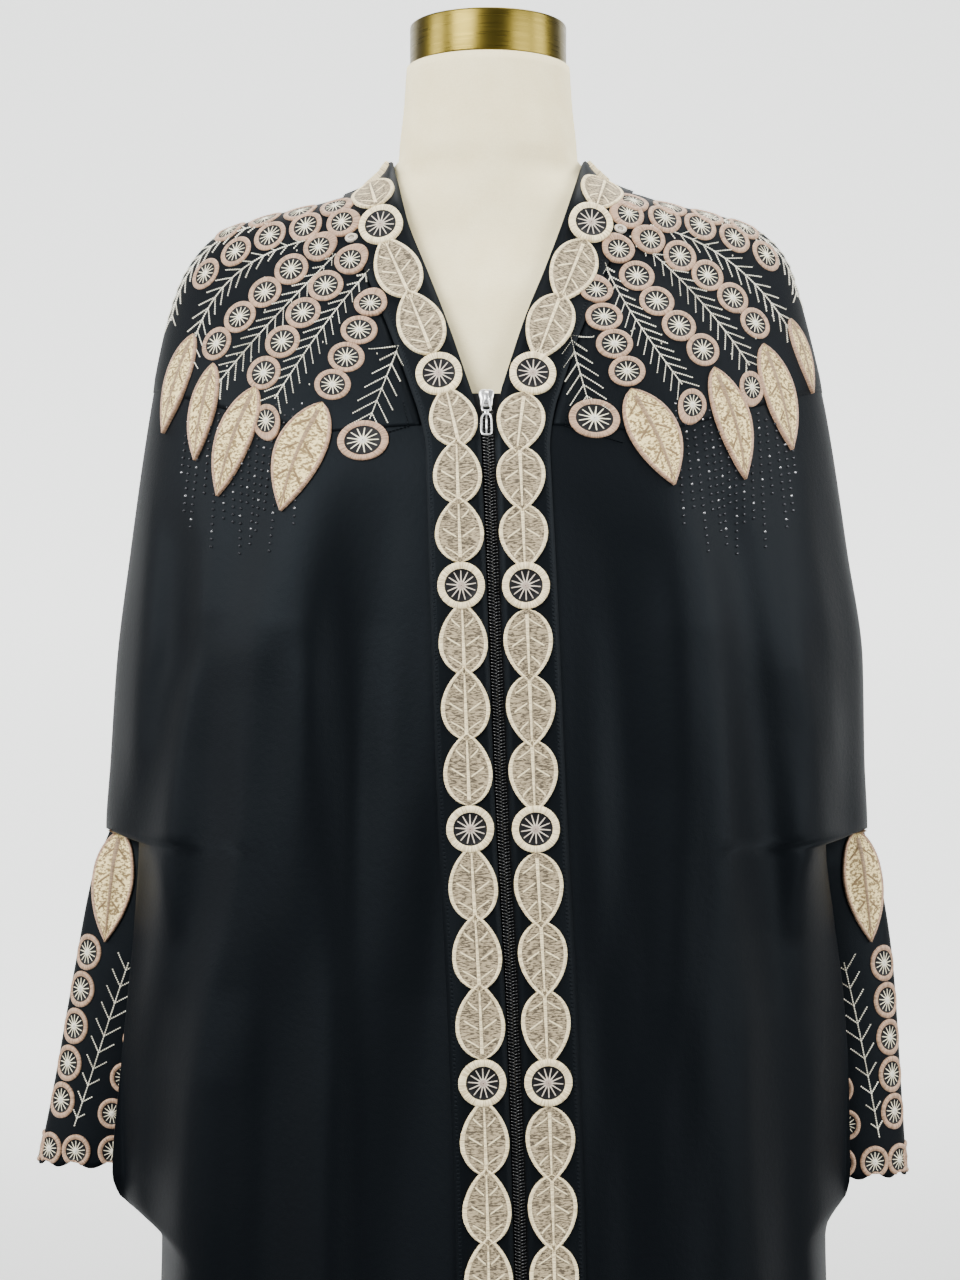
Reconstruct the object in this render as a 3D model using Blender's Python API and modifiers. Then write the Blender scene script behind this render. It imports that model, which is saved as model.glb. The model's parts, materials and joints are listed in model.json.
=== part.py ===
# Abaya with embroidered yokes, cuffs and leaf braid, worn by a limbless dress form on a pole.
# Metres, +Z up, the front faces -Y, the origin is the centre of the base's underside.
# SIDE -1 is the wearer's right (at -X) and +1 the left (at +X).

import bmesh
import bpy
from math import acos, asin, atan2, cos, hypot, pi, radians, sin, sqrt
from mathutils import Matrix, Vector

for old in list(bpy.data.objects):
    bpy.data.objects.remove(old, do_unlink=True)

PARTS = bpy.data.collections.new("abaya_on_form")
CUTTERS = bpy.data.collections.new("cutters")
bpy.context.scene.collection.children.link(PARTS)
bpy.context.scene.collection.children.link(CUTTERS)

# Driving dimensions of the garment
CLOTH = 0.0020            # wall of the fronts and the back
OVERLAY = 0.0012          # wall of bands and yokes
BRAID = 0.0014            # wall of the braid
LEAF = 0.0015             # wall of the leaf appliques
SEAM = 0.0003             # gap between pieces that are sewn together
LIFT = 0.0005             # gap between a panel and what lies on it
SHOULDER_POINT = 1.450    # height where the shoulder line meets the neck
SLEEVE_HEAD = 1.398       # height where the shoulder line turns down
V_POINT = 1.272           # bottom of the V neck, where the zip starts
NECK_REACH = 0.070
BAND_WIDTH = 0.0385
ZIP_HALF_GAP = 0.0046     # from the zip's centre line to each band
FLAT_FRONT = 0.045        # the folds fade out over this distance from the front edge

# Outline from the front: height and how far each side reaches from the centre
REACH_COLUMNS = ("height", "right_hand", "left_hand")
REACH = (
    (0.027, 0.318, 0.330),
    (0.200, 0.290, 0.300),
    (0.450, 0.258, 0.266),
    (0.620, 0.240, 0.248),
    (0.668, 0.239, 0.247),
    (0.680, 0.246, 0.249),
    (0.688, 0.258, 0.254),
    (0.698, 0.267, 0.259),
    (0.716, 0.271, 0.261),
    (0.780, 0.266, 0.260),
    (0.845, 0.260, 0.256),
    (0.900, 0.255, 0.249),
    (0.955, 0.252, 0.243),
    (0.962, 0.281, 0.279),
    (1.009, 0.278, 0.277),
    (1.085, 0.273, 0.2755),
    (1.165, 0.263, 0.264),
    (1.262, 0.249, 0.249),
    (1.321, 0.238, 0.236),
    (1.358, 0.227, 0.226),
    (1.3786, 0.216, 0.2185),
    (1.398, 0.1965, 0.201),
    (1.407, 0.172, 0.181),
    (1.4206, 0.117, 0.126),
    (1.439, 0.0775, 0.080),
    (1.450, 0.070, 0.070),
)

# Reach that the sections follow between the sleeves' bottom and the cuffs, where the edge steps in
FULL_COLUMNS = ("height", "right_hand", "left_hand")
FULL = (
    (0.500, 0.2540, 0.2620),
    (0.600, 0.2580, 0.2640),
    (0.720, 0.2740, 0.2680),
    (0.850, 0.2790, 0.2740),
    (0.930, 0.2806, 0.2778),
    (0.962, 0.2810, 0.2790),
    (1.000, 0.2786, 0.2774),
)
EDGE_ROUNDING = 1.3       # radius of the stepped edge, as a share of the step
SLOT_ROUNDING = 0.60      # and what the slot beside the cuff adds to it
ROUNDING_FADE = ((0.890, 1.0), (0.955, 0.3))

# Sections: depth to the front and back, and the two powers of the rounded section
DEPTH_COLUMNS = ("height", "front", "back", "square", "blunt")
DEPTH = (
    (0.027, 0.200, 0.195, 2.3, 1.8),
    (0.300, 0.182, 0.172, 2.4, 1.7),
    (0.690, 0.162, 0.148, 2.5, 1.5),
    (0.950, 0.155, 0.135, 2.5, 1.4),
    (1.100, 0.152, 0.130, 2.5, 1.5),
    (1.200, 0.146, 0.128, 2.4, 1.6),
    (1.300, 0.117, 0.121, 2.2, 1.7),
    (1.360, 0.090, 0.108, 1.9, 1.6),
    (1.400, 0.076, 0.093, 1.7, 1.5),
    (1.420, 0.073, 0.083, 1.6, 1.5),
    (1.435, 0.072, 0.076, 1.6, 1.6),
    (1.450, 0.071, 0.071, 2.0, 2.0),
)

# Half of the slot beside the cuff, where the front and back layers of the sleeve part
SLOT_COLUMNS = ("height", "front", "back")
SLOT = (
    (0.670, 0.000, 0.000),
    (0.684, 0.010, 0.011),
    (0.697, 0.025, 0.027),
    (0.712, 0.033, 0.036),
    (0.800, 0.034, 0.037),
    (0.930, 0.033, 0.036),
    (0.955, 0.030, 0.033),
    (0.962, 0.000, 0.000),
)

# Centre line of the zip, which leans towards +X going down
ZIP_LINE = ((0.027, 0.030), (0.67, 0.0215), (0.857, 0.0155), (0.97, 0.0095), (1.14, 0.003), (1.272, -0.002))

# Neck edges: height and distance from the centre plane
V_EDGE_COLUMNS = ("height", "right_hand", "left_hand")
V_EDGE = (
    (1.272, 0.0128, 0.0090),
    (1.322, 0.0296, 0.0250),
    (1.358, 0.0430, 0.0390),
    (1.394, 0.0565, 0.0520),
    (1.425, 0.0640, 0.0620),
    (1.442, 0.0680, 0.0670),
    (1.450, 0.0700, 0.0700),
)

# Soft folds of the cloth: side, on the back, path of (height, reach), rise, inner width, outer width
FOLDS = (
    (-1, False, ((1.30, 0.232), (1.24, 0.2355), (1.086, 0.2455), (0.963, 0.249)), 0.010, 0.020, 0.014),
    (-1, False, ((1.26, 0.205), (1.22, 0.206), (1.158, 0.195), (1.10, 0.1945), (1.06, 0.203), (0.99, 0.216),
                 (0.92, 0.2266), (0.845, 0.241), (0.80, 0.252)), 0.016, 0.030, 0.016),
    (-1, False, ((1.25, 0.138), (1.19, 0.142), (1.129, 0.150), (1.05, 0.158), (0.92, 0.172), (0.838, 0.192),
                 (0.78, 0.203), (0.66, 0.211), (0.027, 0.240)), 0.017, 0.036, 0.018),
    (-1, False, ((1.22, 0.131), (1.075, 0.124), (0.92, 0.1196), (0.60, 0.118), (0.027, 0.125)), 0.006, 0.02, 0.02),
    (-1, False, ((1.00, 0.020), (0.915, 0.0415), (0.85, 0.050), (0.60, 0.066), (0.027, 0.075)),
     -0.006, 0.022, 0.030),
    (1, False, ((1.25, 0.125), (1.19, 0.131), (1.156, 0.142), (1.04, 0.155), (0.85, 0.168), (0.665, 0.178),
                (0.027, 0.205)), 0.015, 0.034, 0.018),
    (1, False, ((1.22, 0.198), (1.17, 0.202), (1.105, 0.209), (1.04, 0.221), (0.93, 0.2355), (0.84, 0.247)),
     0.014, 0.028, 0.016),
    (1, False, ((1.26, 0.218), (1.20, 0.2226), (1.086, 0.239), (0.976, 0.247)), 0.010, 0.016, 0.012),
    (1, False, ((1.00, 0.113), (0.93, 0.116), (0.665, 0.123), (0.027, 0.140)), 0.007, 0.026, 0.026),
    (1, False, ((0.60, 0.068), (0.30, 0.075), (0.027, 0.082)), 0.010, 0.026, 0.026),
    (1, False, ((0.66, 0.235), (0.30, 0.252), (0.027, 0.275)), 0.013, 0.026, 0.024),
    (-1, True, ((1.24, 0.130), (1.05, 0.150), (0.80, 0.170), (0.40, 0.190), (0.027, 0.215)), 0.015, 0.034, 0.020),
    (-1, True, ((1.22, 0.200), (1.05, 0.212), (0.92, 0.228), (0.82, 0.245)), 0.013, 0.028, 0.016),
    (-1, True, ((1.10, 0.060), (0.80, 0.066), (0.40, 0.078), (0.027, 0.092)), 0.012, 0.032, 0.026),
    (1, True, ((1.24, 0.118), (1.05, 0.140), (0.80, 0.160), (0.40, 0.185), (0.027, 0.222)), 0.016, 0.034, 0.020),
    (1, True, ((1.22, 0.205), (1.05, 0.218), (0.92, 0.230), (0.82, 0.243)), 0.012, 0.026, 0.016),
    (1, True, ((1.12, 0.030), (0.80, 0.038), (0.40, 0.050), (0.027, 0.062)), 0.010, 0.030, 0.026),
)

# Rows of the panels: height at the front or back edge and at the sleeve's edge
V_ROWS = 9
OUTER_DROP = 0.198
BODY_ROWS = (
    (1.256, 1.185), (1.236, 1.168), (1.190, 1.130), (1.130, 1.090), (1.060, 1.035), (0.990, 0.982),
    (0.962, 0.962), (0.955, 0.955), (0.910, 0.910), (0.850, 0.850), (0.785, 0.785), (0.728, 0.728),
    (0.708, 0.708), (0.695, 0.695), (0.686, 0.686), (0.677, 0.677), (0.667, 0.667), (0.600, 0.600),
    (0.500, 0.500), (0.380, 0.380), (0.250, 0.250), (0.130, 0.130), (0.027, 0.027),
)
BAND_STEPS = 1
FRONT_STEPS = 13
NECK_STEPS = 5
BACK_STEPS = 7
BACK_SPREAD = 0.2         # drop over which the back's columns spread out below the yokes

# Braid: heights of the discs on each side, with three leaves between each two
DISC_HEIGHTS = (1.404, 1.286, 1.139, 0.974, 0.805, 0.637, 0.469, 0.301, 0.133)
LEAVES_BETWEEN = 3
BRAID_CENTRE = 0.0171     # from the band's inner edge
LEAF_HALF_WIDTH = 0.0163
DISC_HALF_WIDTH = 0.0158

# Colours
BLACK_CLOTH = (0.012, 0.013, 0.016)
CREAM = (0.66, 0.58, 0.46)
TAN = (0.50, 0.40, 0.29)
LINEN = (0.80, 0.75, 0.64)
GOLD = (0.83, 0.62, 0.24)
ZIP_BLACK = (0.010, 0.010, 0.012)
SILVER = (0.75, 0.75, 0.74)


def material(name, colour, roughness, metallic=0.0):
    made = bpy.data.materials.get(name) or bpy.data.materials.new(name)
    made.use_nodes = True
    shader = made.node_tree.nodes["Principled BSDF"]
    shader.inputs["Base Color"].default_value = (*colour, 1.0)
    shader.inputs["Roughness"].default_value = roughness
    shader.inputs["Metallic"].default_value = metallic
    return made


def add_object(name, mesh, colour, roughness, metallic=0.0):
    made = bpy.data.objects.new(name, mesh)
    mesh.materials.clear()
    mesh.materials.append(material(name, colour, roughness, metallic))
    PARTS.objects.link(made)
    return made


def along(points, at):
    """Monotone cubic through (position, value) pairs, held level past both ends."""
    if at <= points[0][0]:
        return points[0][1]
    if at >= points[-1][0]:
        return points[-1][1]
    slopes = [(b[1] - a[1]) / (b[0] - a[0]) for a, b in zip(points, points[1:])]
    tangents = [slopes[0]]
    for before, after in zip(slopes, slopes[1:]):
        tangents.append(0.0 if before * after <= 0 else 2 * before * after / (before + after))
    tangents.append(slopes[-1])
    place = next(i for i in range(len(slopes)) if at <= points[i + 1][0])
    (low, start), (high, end) = points[place], points[place + 1]
    step = high - low
    t = (at - low) / step
    return ((1 + 2 * t) * (1 - t) ** 2 * start + t * (1 - t) ** 2 * step * tangents[place]
            + t * t * (3 - 2 * t) * end + t * t * (t - 1) * step * tangents[place + 1])


def column(table, names, name):
    return [(row[0], row[names.index(name)]) for row in table]


def side_name(side):
    return "left_hand" if side > 0 else "right_hand"


REACH_OF = {side: column(REACH, REACH_COLUMNS, side_name(side)) for side in (-1, 1)}
FULL_OF = {side: column(FULL, FULL_COLUMNS, side_name(side)) for side in (-1, 1)}
EDGE_OF = {side: column(V_EDGE, V_EDGE_COLUMNS, side_name(side)) for side in (-1, 1)}
DEPTH_OF = {name: column(DEPTH, DEPTH_COLUMNS, name) for name in DEPTH_COLUMNS[1:]}
SLOT_OF = {name: column(SLOT, SLOT_COLUMNS, name) for name in SLOT_COLUMNS[1:]}


def reach(side, z):
    return along(REACH_OF[side], z)


def full_reach(side, z):
    low, high = FULL[0][0], FULL[-1][0]
    return max(reach(side, z), along(FULL_OF[side], z)) if low < z < high else reach(side, z)


def zip_x(z):
    return along(ZIP_LINE, z)


def edge_reach(side, z):
    """Distance of the front edge from the centre plane, along the V neck and the zip."""
    beside_zip = side * zip_x(z) + ZIP_HALF_GAP
    if z >= V_POINT:
        return along(EDGE_OF[side], z)
    opening = max(0.0, 1 - (V_POINT - z) / 0.034)
    return beside_zip + (along(EDGE_OF[side], V_POINT) - side * zip_x(V_POINT) - ZIP_HALF_GAP) * opening ** 1.6


def shoulder_height(side, x):
    """Height of the shoulder line at distance x from the centre plane."""
    if x <= NECK_REACH:
        return SHOULDER_POINT
    low, high = SLEEVE_HEAD, SHOULDER_POINT
    for _ in range(24):
        middle = (low + high) / 2
        if reach(side, middle) > x:
            low = middle
        else:
            high = middle
    return (low + high) / 2


def fold_rise(side, back, x, z):
    total = 0.0
    for fold_side, on_back, path, rise, inner, outer in FOLDS:
        if fold_side != side or on_back != back:
            continue
        heights = sorted(path)
        top, bottom = heights[-1][0], heights[0][0]
        fade = min(1.0, max(0.0, (top - z) / 0.14))
        if bottom > 0.1:
            fade *= min(1.0, max(0.0, (z - bottom) / 0.06))
        offset = x - along(heights, z)
        width = outer if offset > 0 else inner
        t = abs(offset) / width
        wave = 2.718 ** (-t * t) - 0.35 * 2.718 ** (-((t - 1.9) / 0.8) ** 2)
        total += rise * fade * wave
    return total


def cloth_y(side, back, x, z):
    """Depth of the cloth's outer face at a place seen from the front or the back."""
    edge, full = reach(side, z), full_reach(side, z)
    share = min(1.0, max(0.0, x / full))
    inside = 1 - share ** along(DEPTH_OF["square"], z)
    name = "back" if back else "front"
    depth = along(DEPTH_OF[name], z) * inside ** (1 / along(DEPTH_OF["blunt"], z))
    slot = along(SLOT_OF[name], z)
    rounding = along(ROUNDING_FADE, z)
    radius = max(rounding * (EDGE_ROUNDING * (full - edge) + SLOT_ROUNDING * slot), 1e-6)
    closing = sqrt(1 - (1 - min(1.0, max(0.0, edge - x) / radius)) ** 2)
    depth = slot + max(0.0, depth - slot) * closing
    flat_band = 1.0 if back else min(1.0, max(0.0, x - edge_reach(side, z)) / FLAT_FRONT)
    depth += fold_rise(side, back, x, z) * inside ** 0.3 * closing * flat_band
    return depth if back else -depth


def panel_rows():
    """Rows as (edge height, sleeve height, share of the shoulder line's shape)."""
    rows = []
    for step in range(V_ROWS + 1):
        t = (step / V_ROWS) ** 2
        rows.append((SHOULDER_POINT - (SHOULDER_POINT - V_POINT) * t, SLEEVE_HEAD - OUTER_DROP * t, 1 - t))
    return rows + [(edge, outer, 0.0) for edge, outer in BODY_ROWS]


ROWS = panel_rows()


def shoulder_bend(side, share):
    """How far the shoulder line lies from a straight line between its ends."""
    x = NECK_REACH + (reach(side, SLEEVE_HEAD) - NECK_REACH) * share
    straight = SHOULDER_POINT + (SLEEVE_HEAD - SHOULDER_POINT) * share
    return shoulder_height(side, x) - straight


def row_at(row):
    """Row values between two whole rows."""
    low = min(int(row), len(ROWS) - 2)
    return [a + (b - a) * (row - low) for a, b in zip(ROWS[low], ROWS[low + 1])]


def front_place(side, row, across, back=False):
    """A row's point, across = metres from the edge (<= band) or 1 + share of the rest."""
    edge_z, outer_z, shape = row_at(row)
    start, end = edge_reach(side, edge_z), reach(side, outer_z)
    length = hypot(end - start, outer_z - edge_z)
    band = BAND_WIDTH / length
    share = across / length if across < 1 else band + (1 - band) * (across - 1)
    x = start + (end - start) * share
    z = edge_z + (outer_z - edge_z) * share + shoulder_bend(side, share) * shape
    if row == 0:
        return Vector((side * x, SEAM / 2 if back else -SEAM / 2, z))
    y = cloth_y(side, back, x, z)
    return Vector((side * x, max(y, SEAM / 2) if back else min(y, -SEAM / 2), z))


def front_grid(side):
    across = [BAND_WIDTH * k / BAND_STEPS for k in range(BAND_STEPS + 1)]
    across += [1 + sin(pi / 2 * k / FRONT_STEPS) for k in range(1, FRONT_STEPS + 1)]
    return [[front_place(side, row, a) for a in across] for row in range(len(ROWS))]


def back_place(side, row, step):
    """Back panel: step 0 is the centre, NECK_STEPS the shoulder point and the last one the seam."""
    edge_z, outer_z, shape = ROWS[row]
    steps = NECK_STEPS + BACK_STEPS
    end = reach(side, outer_z)
    low_x = end * sin(pi / 2 * step / steps)
    if step <= NECK_STEPS:
        top_x = NECK_REACH * sin(pi / 2 * step / NECK_STEPS)
    else:
        top_x = NECK_REACH + (end - NECK_REACH) * sin(pi / 2 * (step - NECK_STEPS) / BACK_STEPS)
    spread = min(1.0, max(0.0, (V_POINT - edge_z) / BACK_SPREAD))
    x = top_x + (low_x - top_x) * spread
    share = x / end
    straight = edge_z + (outer_z - edge_z) * share
    top_straight = SHOULDER_POINT + (SLEEVE_HEAD - SHOULDER_POINT) * share
    z = straight + (shoulder_height(side, min(x, reach(side, SLEEVE_HEAD))) - top_straight) * shape
    if row == 0 and step >= NECK_STEPS:
        return Vector((side * x, SEAM / 2, z))
    y = cloth_y(side, True, x, z)
    return Vector((side * x, max(y, SEAM / 2), z))


def back_grid():
    steps = NECK_STEPS + BACK_STEPS
    grid = []
    for row in range(len(ROWS)):
        left = [back_place(-1, row, step) for step in range(steps, 0, -1)]
        grid.append(left + [back_place(1, row, step) for step in range(steps + 1)])
    return grid


def grid_normals(grid, flip):
    """Outward normals; at the shoulder and side seams they stay in the seam's plane."""
    rows, columns = len(grid), len(grid[0])
    normals = []
    for i in range(rows):
        line = []
        for j in range(columns):
            down = grid[min(i + 1, rows - 1)][j] - grid[max(i - 1, 0)][j]
            over = grid[i][min(j + 1, columns - 1)] - grid[i][max(j - 1, 0)]
            normal = over.cross(down) * flip
            if abs(grid[i][j].y) <= SEAM:
                normal.y = 0.0
            if normal.length < 1e-7:
                normal = Vector((abs(down.z) * (1 if grid[i][j].x > 0 else -1), 0.0, abs(down.x)))
            line.append(normal.normalized())
        normals.append(line)
    return normals


def wall(name, outer, inner, colour, roughness=0.6, metallic=0.0, ring=False):
    """Closed wall between two grids of points; its diagonals run down towards the centre plane."""
    rows, columns = len(outer), len(outer[0])
    shape = bmesh.new()
    out_verts = [[shape.verts.new(p) for p in line] for line in outer]
    in_verts = [[shape.verts.new(p) for p in line] for line in inner]
    spans = columns if ring else columns - 1
    for i in range(rows - 1):
        for j in range(spans):
            k = (j + 1) % columns
            far, near = (j, k) if abs(outer[i][j].x) > abs(outer[i][k].x) else (k, j)
            for verts in (out_verts, in_verts):
                shape.faces.new((verts[i][far], verts[i][near], verts[i + 1][near]))
                shape.faces.new((verts[i][far], verts[i + 1][near], verts[i + 1][far]))
    for j in range(spans):
        k = (j + 1) % columns
        shape.faces.new((out_verts[0][j], in_verts[0][j], in_verts[0][k], out_verts[0][k]))
        shape.faces.new((out_verts[-1][j], out_verts[-1][k], in_verts[-1][k], in_verts[-1][j]))
    if not ring:
        for i in range(rows - 1):
            shape.faces.new((out_verts[i][0], out_verts[i + 1][0], in_verts[i + 1][0], in_verts[i][0]))
            shape.faces.new((out_verts[i][-1], in_verts[i][-1], in_verts[i + 1][-1], out_verts[i + 1][-1]))
    bmesh.ops.recalc_face_normals(shape, faces=shape.faces)
    mesh = bpy.data.meshes.new(name)
    shape.to_mesh(mesh)
    shape.free()
    mesh.shade_smooth()
    mesh.set_sharp_from_angle(angle=radians(50))
    return add_object(name, mesh, colour, roughness, metallic)


def moved(grid, normals, distance):
    return [[p + n * distance for p, n in zip(line, across)] for line, across in zip(grid, normals)]


# Fronts and back
FRONT = {side: front_grid(side) for side in (-1, 1)}
FRONT_NORMALS = {side: grid_normals(FRONT[side], -side) for side in (-1, 1)}
BACK = back_grid()
BACK_NORMALS = grid_normals(BACK, 1)
for side, word in ((-1, "right"), (1, "left")):
    wall("front_" + word, FRONT[side], moved(FRONT[side], FRONT_NORMALS[side], -CLOTH), BLACK_CLOTH, 0.45)
wall("back", BACK, moved(BACK, BACK_NORMALS, -CLOTH), BLACK_CLOTH, 0.45)


def overlay(name, grid, normals, colour, thickness=OVERLAY, lift=LIFT):
    return wall(name, moved(grid, normals, lift + thickness), moved(grid, normals, lift), colour, 0.6)


def between(grid, row, cell):
    """Value of a panel's grid between its rows and columns."""
    i, j = min(int(row), len(grid) - 2), min(int(cell), len(grid[0]) - 2)
    upper = grid[i][j].lerp(grid[i][j + 1], cell - j)
    lower = grid[i + 1][j].lerp(grid[i + 1][j + 1], cell - j)
    return upper.lerp(lower, row - i)


def overlay_on(name, grid, normals, places, colour, thickness=OVERLAY, lift=LIFT):
    """Overlay whose points are places (row, column) on a panel, moved out along its normals."""
    points = [[between(grid, *place) for place in line] for line in places]
    out = [[between(normals, *place).normalized() for place in line] for line in places]
    return overlay(name, points, out, colour, thickness, lift)


# Front bands, on the first columns of each front
for side, word in ((-1, "right"), (1, "left")):
    edges = (0, BAND_STEPS * (1 - SEAM / BAND_WIDTH))
    places = [[(row, edge) for edge in edges] for row in range(len(ROWS))]
    overlay_on("band_" + word, FRONT[side], FRONT_NORMALS[side], places, BLACK_CLOTH)

# Band round the back of the neck, from one shoulder line to the other
NECK_BAND_ROWS = 5
NECK_BAND_CLOSE = 0.15    # of a row, between the band's lines where it ends above the next row
NECK_BAND_LIFT = 0.0019
NECK_BAND_DEEP = 4.4      # rows that the band covers at the centre of the back
BACK_CENTRE = NECK_STEPS + BACK_STEPS
SHOULDER_RUN = reach(1, SLEEVE_HEAD) - NECK_REACH
BAND_SPREAD = 0.93        # the shoulder line's slope, as its run over its length
NECK_BAND_LEAST = 0.9     # rows that it covers at its ends


def neck_cell(width):
    """Column of the back at a distance from the neck along the shoulder line."""
    return NECK_STEPS + BACK_STEPS * 2 / pi * asin(width * BAND_SPREAD / SHOULDER_RUN)


NECK_BAND_END = neck_cell(BAND_WIDTH - SEAM)
half_cells = list(range(NECK_STEPS + 1)) + [NECK_STEPS + 0.5, NECK_STEPS + 1, NECK_BAND_END]
band_cells = [-cell for cell in reversed(half_cells[1:])] + half_cells
band_places = []
for i in range(NECK_BAND_ROWS + 1):
    line = []
    for cell in band_cells:
        deep = max(NECK_BAND_LEAST, NECK_BAND_DEEP * sqrt(1 - (cell / NECK_BAND_END) ** 2))
        line.append((min(i, deep - NECK_BAND_CLOSE * (NECK_BAND_ROWS - i)), BACK_CENTRE + cell))
    band_places.append(line)
overlay_on("neck_band", BACK, BACK_NORMALS, band_places, BLACK_CLOTH, lift=NECK_BAND_LIFT)

# Yokes: overlays from the bands to the sleeves, front and back, lower beside the bands
YOKE_INNER_ROW = 10.0
YOKE_OUTER_ROW = 6.9
YOKE_WHOLE_ROWS = 6
YOKE_LAST_ROWS = 4
YOKE_GAP = 0.03           # of a column, beside the band
YOKE_LIFT = 0.0008
BACK_YOKE_LIFT = 0.0011


def yoke_lines(first, last):
    """Rows of (row, column) places over whole columns, the lower edge rising towards the sleeve."""
    cells = [first] + list(range(int(first) + 1, last + 1))
    rows = [[(i, cell) for cell in cells] for i in range(YOKE_WHOLE_ROWS + 1)]
    for i in range(1, YOKE_LAST_ROWS + 1):
        line = []
        for cell in cells:
            share = sin(pi / 2 * (cell - first) / (last - first))
            deep = YOKE_INNER_ROW + (YOKE_OUTER_ROW - YOKE_INNER_ROW) * share
            line.append((YOKE_WHOLE_ROWS + (deep - YOKE_WHOLE_ROWS) * i / YOKE_LAST_ROWS, cell))
        rows.append(line)
    return rows


for side, word in ((-1, "right"), (1, "left")):
    overlay_on(f"yoke_{word}_front", FRONT[side], FRONT_NORMALS[side],
               yoke_lines(BAND_STEPS + YOKE_GAP, BAND_STEPS + FRONT_STEPS), BLACK_CLOTH, lift=YOKE_LIFT)
    places = [[(row, BACK_CENTRE + side * cell) for row, cell in line]
              for line in yoke_lines(NECK_BAND_END + YOKE_GAP, BACK_CENTRE)]
    overlay_on(f"yoke_{word}_back", BACK, BACK_NORMALS, places, BLACK_CLOTH, lift=BACK_YOKE_LIFT)

# Braid of leaves and discs: a strip on the bands whose width follows the motifs
BRAID_LIFT = LIFT + OVERLAY + 0.0013
STEPS_PER_MOTIF = 3
NOTCH_HALF_WIDTH = 0.0035
BRAID_TOP = 1.443
BRAID_BOTTOM = 0.036
CURVED_ABOVE = 1.10       # the braid also bends at each row of the front above this


def band_place(z_edge, width):
    """Row and column on the front at a height of its edge and a distance across the band."""
    row = next(i for i in range(len(ROWS) - 1) if ROWS[i + 1][0] <= z_edge)
    share = (ROWS[row][0] - z_edge) / (ROWS[row][0] - ROWS[row + 1][0])
    return row + share, width / (BAND_WIDTH / BAND_STEPS)


def motif_ends():
    """Heights where the motifs meet, from the top, with each motif's half width."""
    ends, kinds = [BRAID_TOP], []
    for upper, lower in zip(DISC_HEIGHTS, DISC_HEIGHTS[1:] + (DISC_HEIGHTS[-1] - 0.168,)):
        radius = DISC_HALF_WIDTH * (0.72 if upper > V_POINT else 1.0)
        next_radius = DISC_HALF_WIDTH * (0.72 if lower > V_POINT else 1.0)
        kinds += [LEAF_HALF_WIDTH] * (len(ends) == 1) + [DISC_HALF_WIDTH]
        ends += [upper + radius] * (len(ends) == 1) + [upper - radius]
        span = (upper - radius) - (lower + next_radius)
        for leaf in range(LEAVES_BETWEEN):
            end = upper - radius - span * (leaf + 1) / LEAVES_BETWEEN
            if end < BRAID_BOTTOM:
                return ends, kinds
            ends.append(end)
            kinds.append(LEAF_HALF_WIDTH)
    return ends, kinds


def braid_outline():
    """Heights down the braid, each with the strip's half width there."""
    ends, kinds = motif_ends()
    outline = [(ends[0], NOTCH_HALF_WIDTH)]
    for top, bottom, width in zip(ends, ends[1:], kinds):
        shares = [step / STEPS_PER_MOTIF for step in range(1, STEPS_PER_MOTIF + 1)]
        shares += [(top - row[0]) / (top - bottom) for row in ROWS if row[0] > CURVED_ABOVE]
        for share in sorted(share for share in shares if 0.02 < share <= 1):
            bulge = min(1.0, sin(pi * share) / sin(pi / STEPS_PER_MOTIF))
            half = NOTCH_HALF_WIDTH + (width - NOTCH_HALF_WIDTH) * max(0.0, bulge)
            outline.append((top + (bottom - top) * share, half))
    return outline


for side, word in ((-1, "right"), (1, "left")):
    places = [[band_place(z, BRAID_CENTRE - half), band_place(z, BRAID_CENTRE + half)]
              for z, half in braid_outline()]
    overlay_on("braid_" + word, FRONT[side], FRONT_NORMALS[side], places, CREAM, BRAID, BRAID_LIFT)

NECK_MOTIFS = 7
NECK_BRAID_END = radians(6)
NECK_LEAF_HALF_WIDTH = 0.0140
NECK_BRAID_LIFT = NECK_BAND_LIFT + OVERLAY + 0.0020


def neck_place(angle, width):
    """Row and column on the back, angle from the shoulder line at +X round the neck, width outward."""
    deep = V_ROWS * sqrt(width * BAND_SPREAD / (SHOULDER_POINT - V_POINT))
    return deep * sin(angle), BACK_CENTRE + neck_cell(width) * cos(angle)


neck_braid = []
for step in range(NECK_MOTIFS * STEPS_PER_MOTIF + 1):
    angle = NECK_BRAID_END + (pi - 2 * NECK_BRAID_END) * step / (NECK_MOTIFS * STEPS_PER_MOTIF)
    bulge = abs(sin(pi * step / STEPS_PER_MOTIF)) / sin(pi / STEPS_PER_MOTIF)
    half = NOTCH_HALF_WIDTH + (NECK_LEAF_HALF_WIDTH - NOTCH_HALF_WIDTH) * bulge
    neck_braid.append([neck_place(angle, BRAID_CENTRE + half), neck_place(angle, BRAID_CENTRE - half)])
overlay_on("braid_neck", BACK, BACK_NORMALS, neck_braid, CREAM, BRAID, NECK_BRAID_LIFT)

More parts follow.
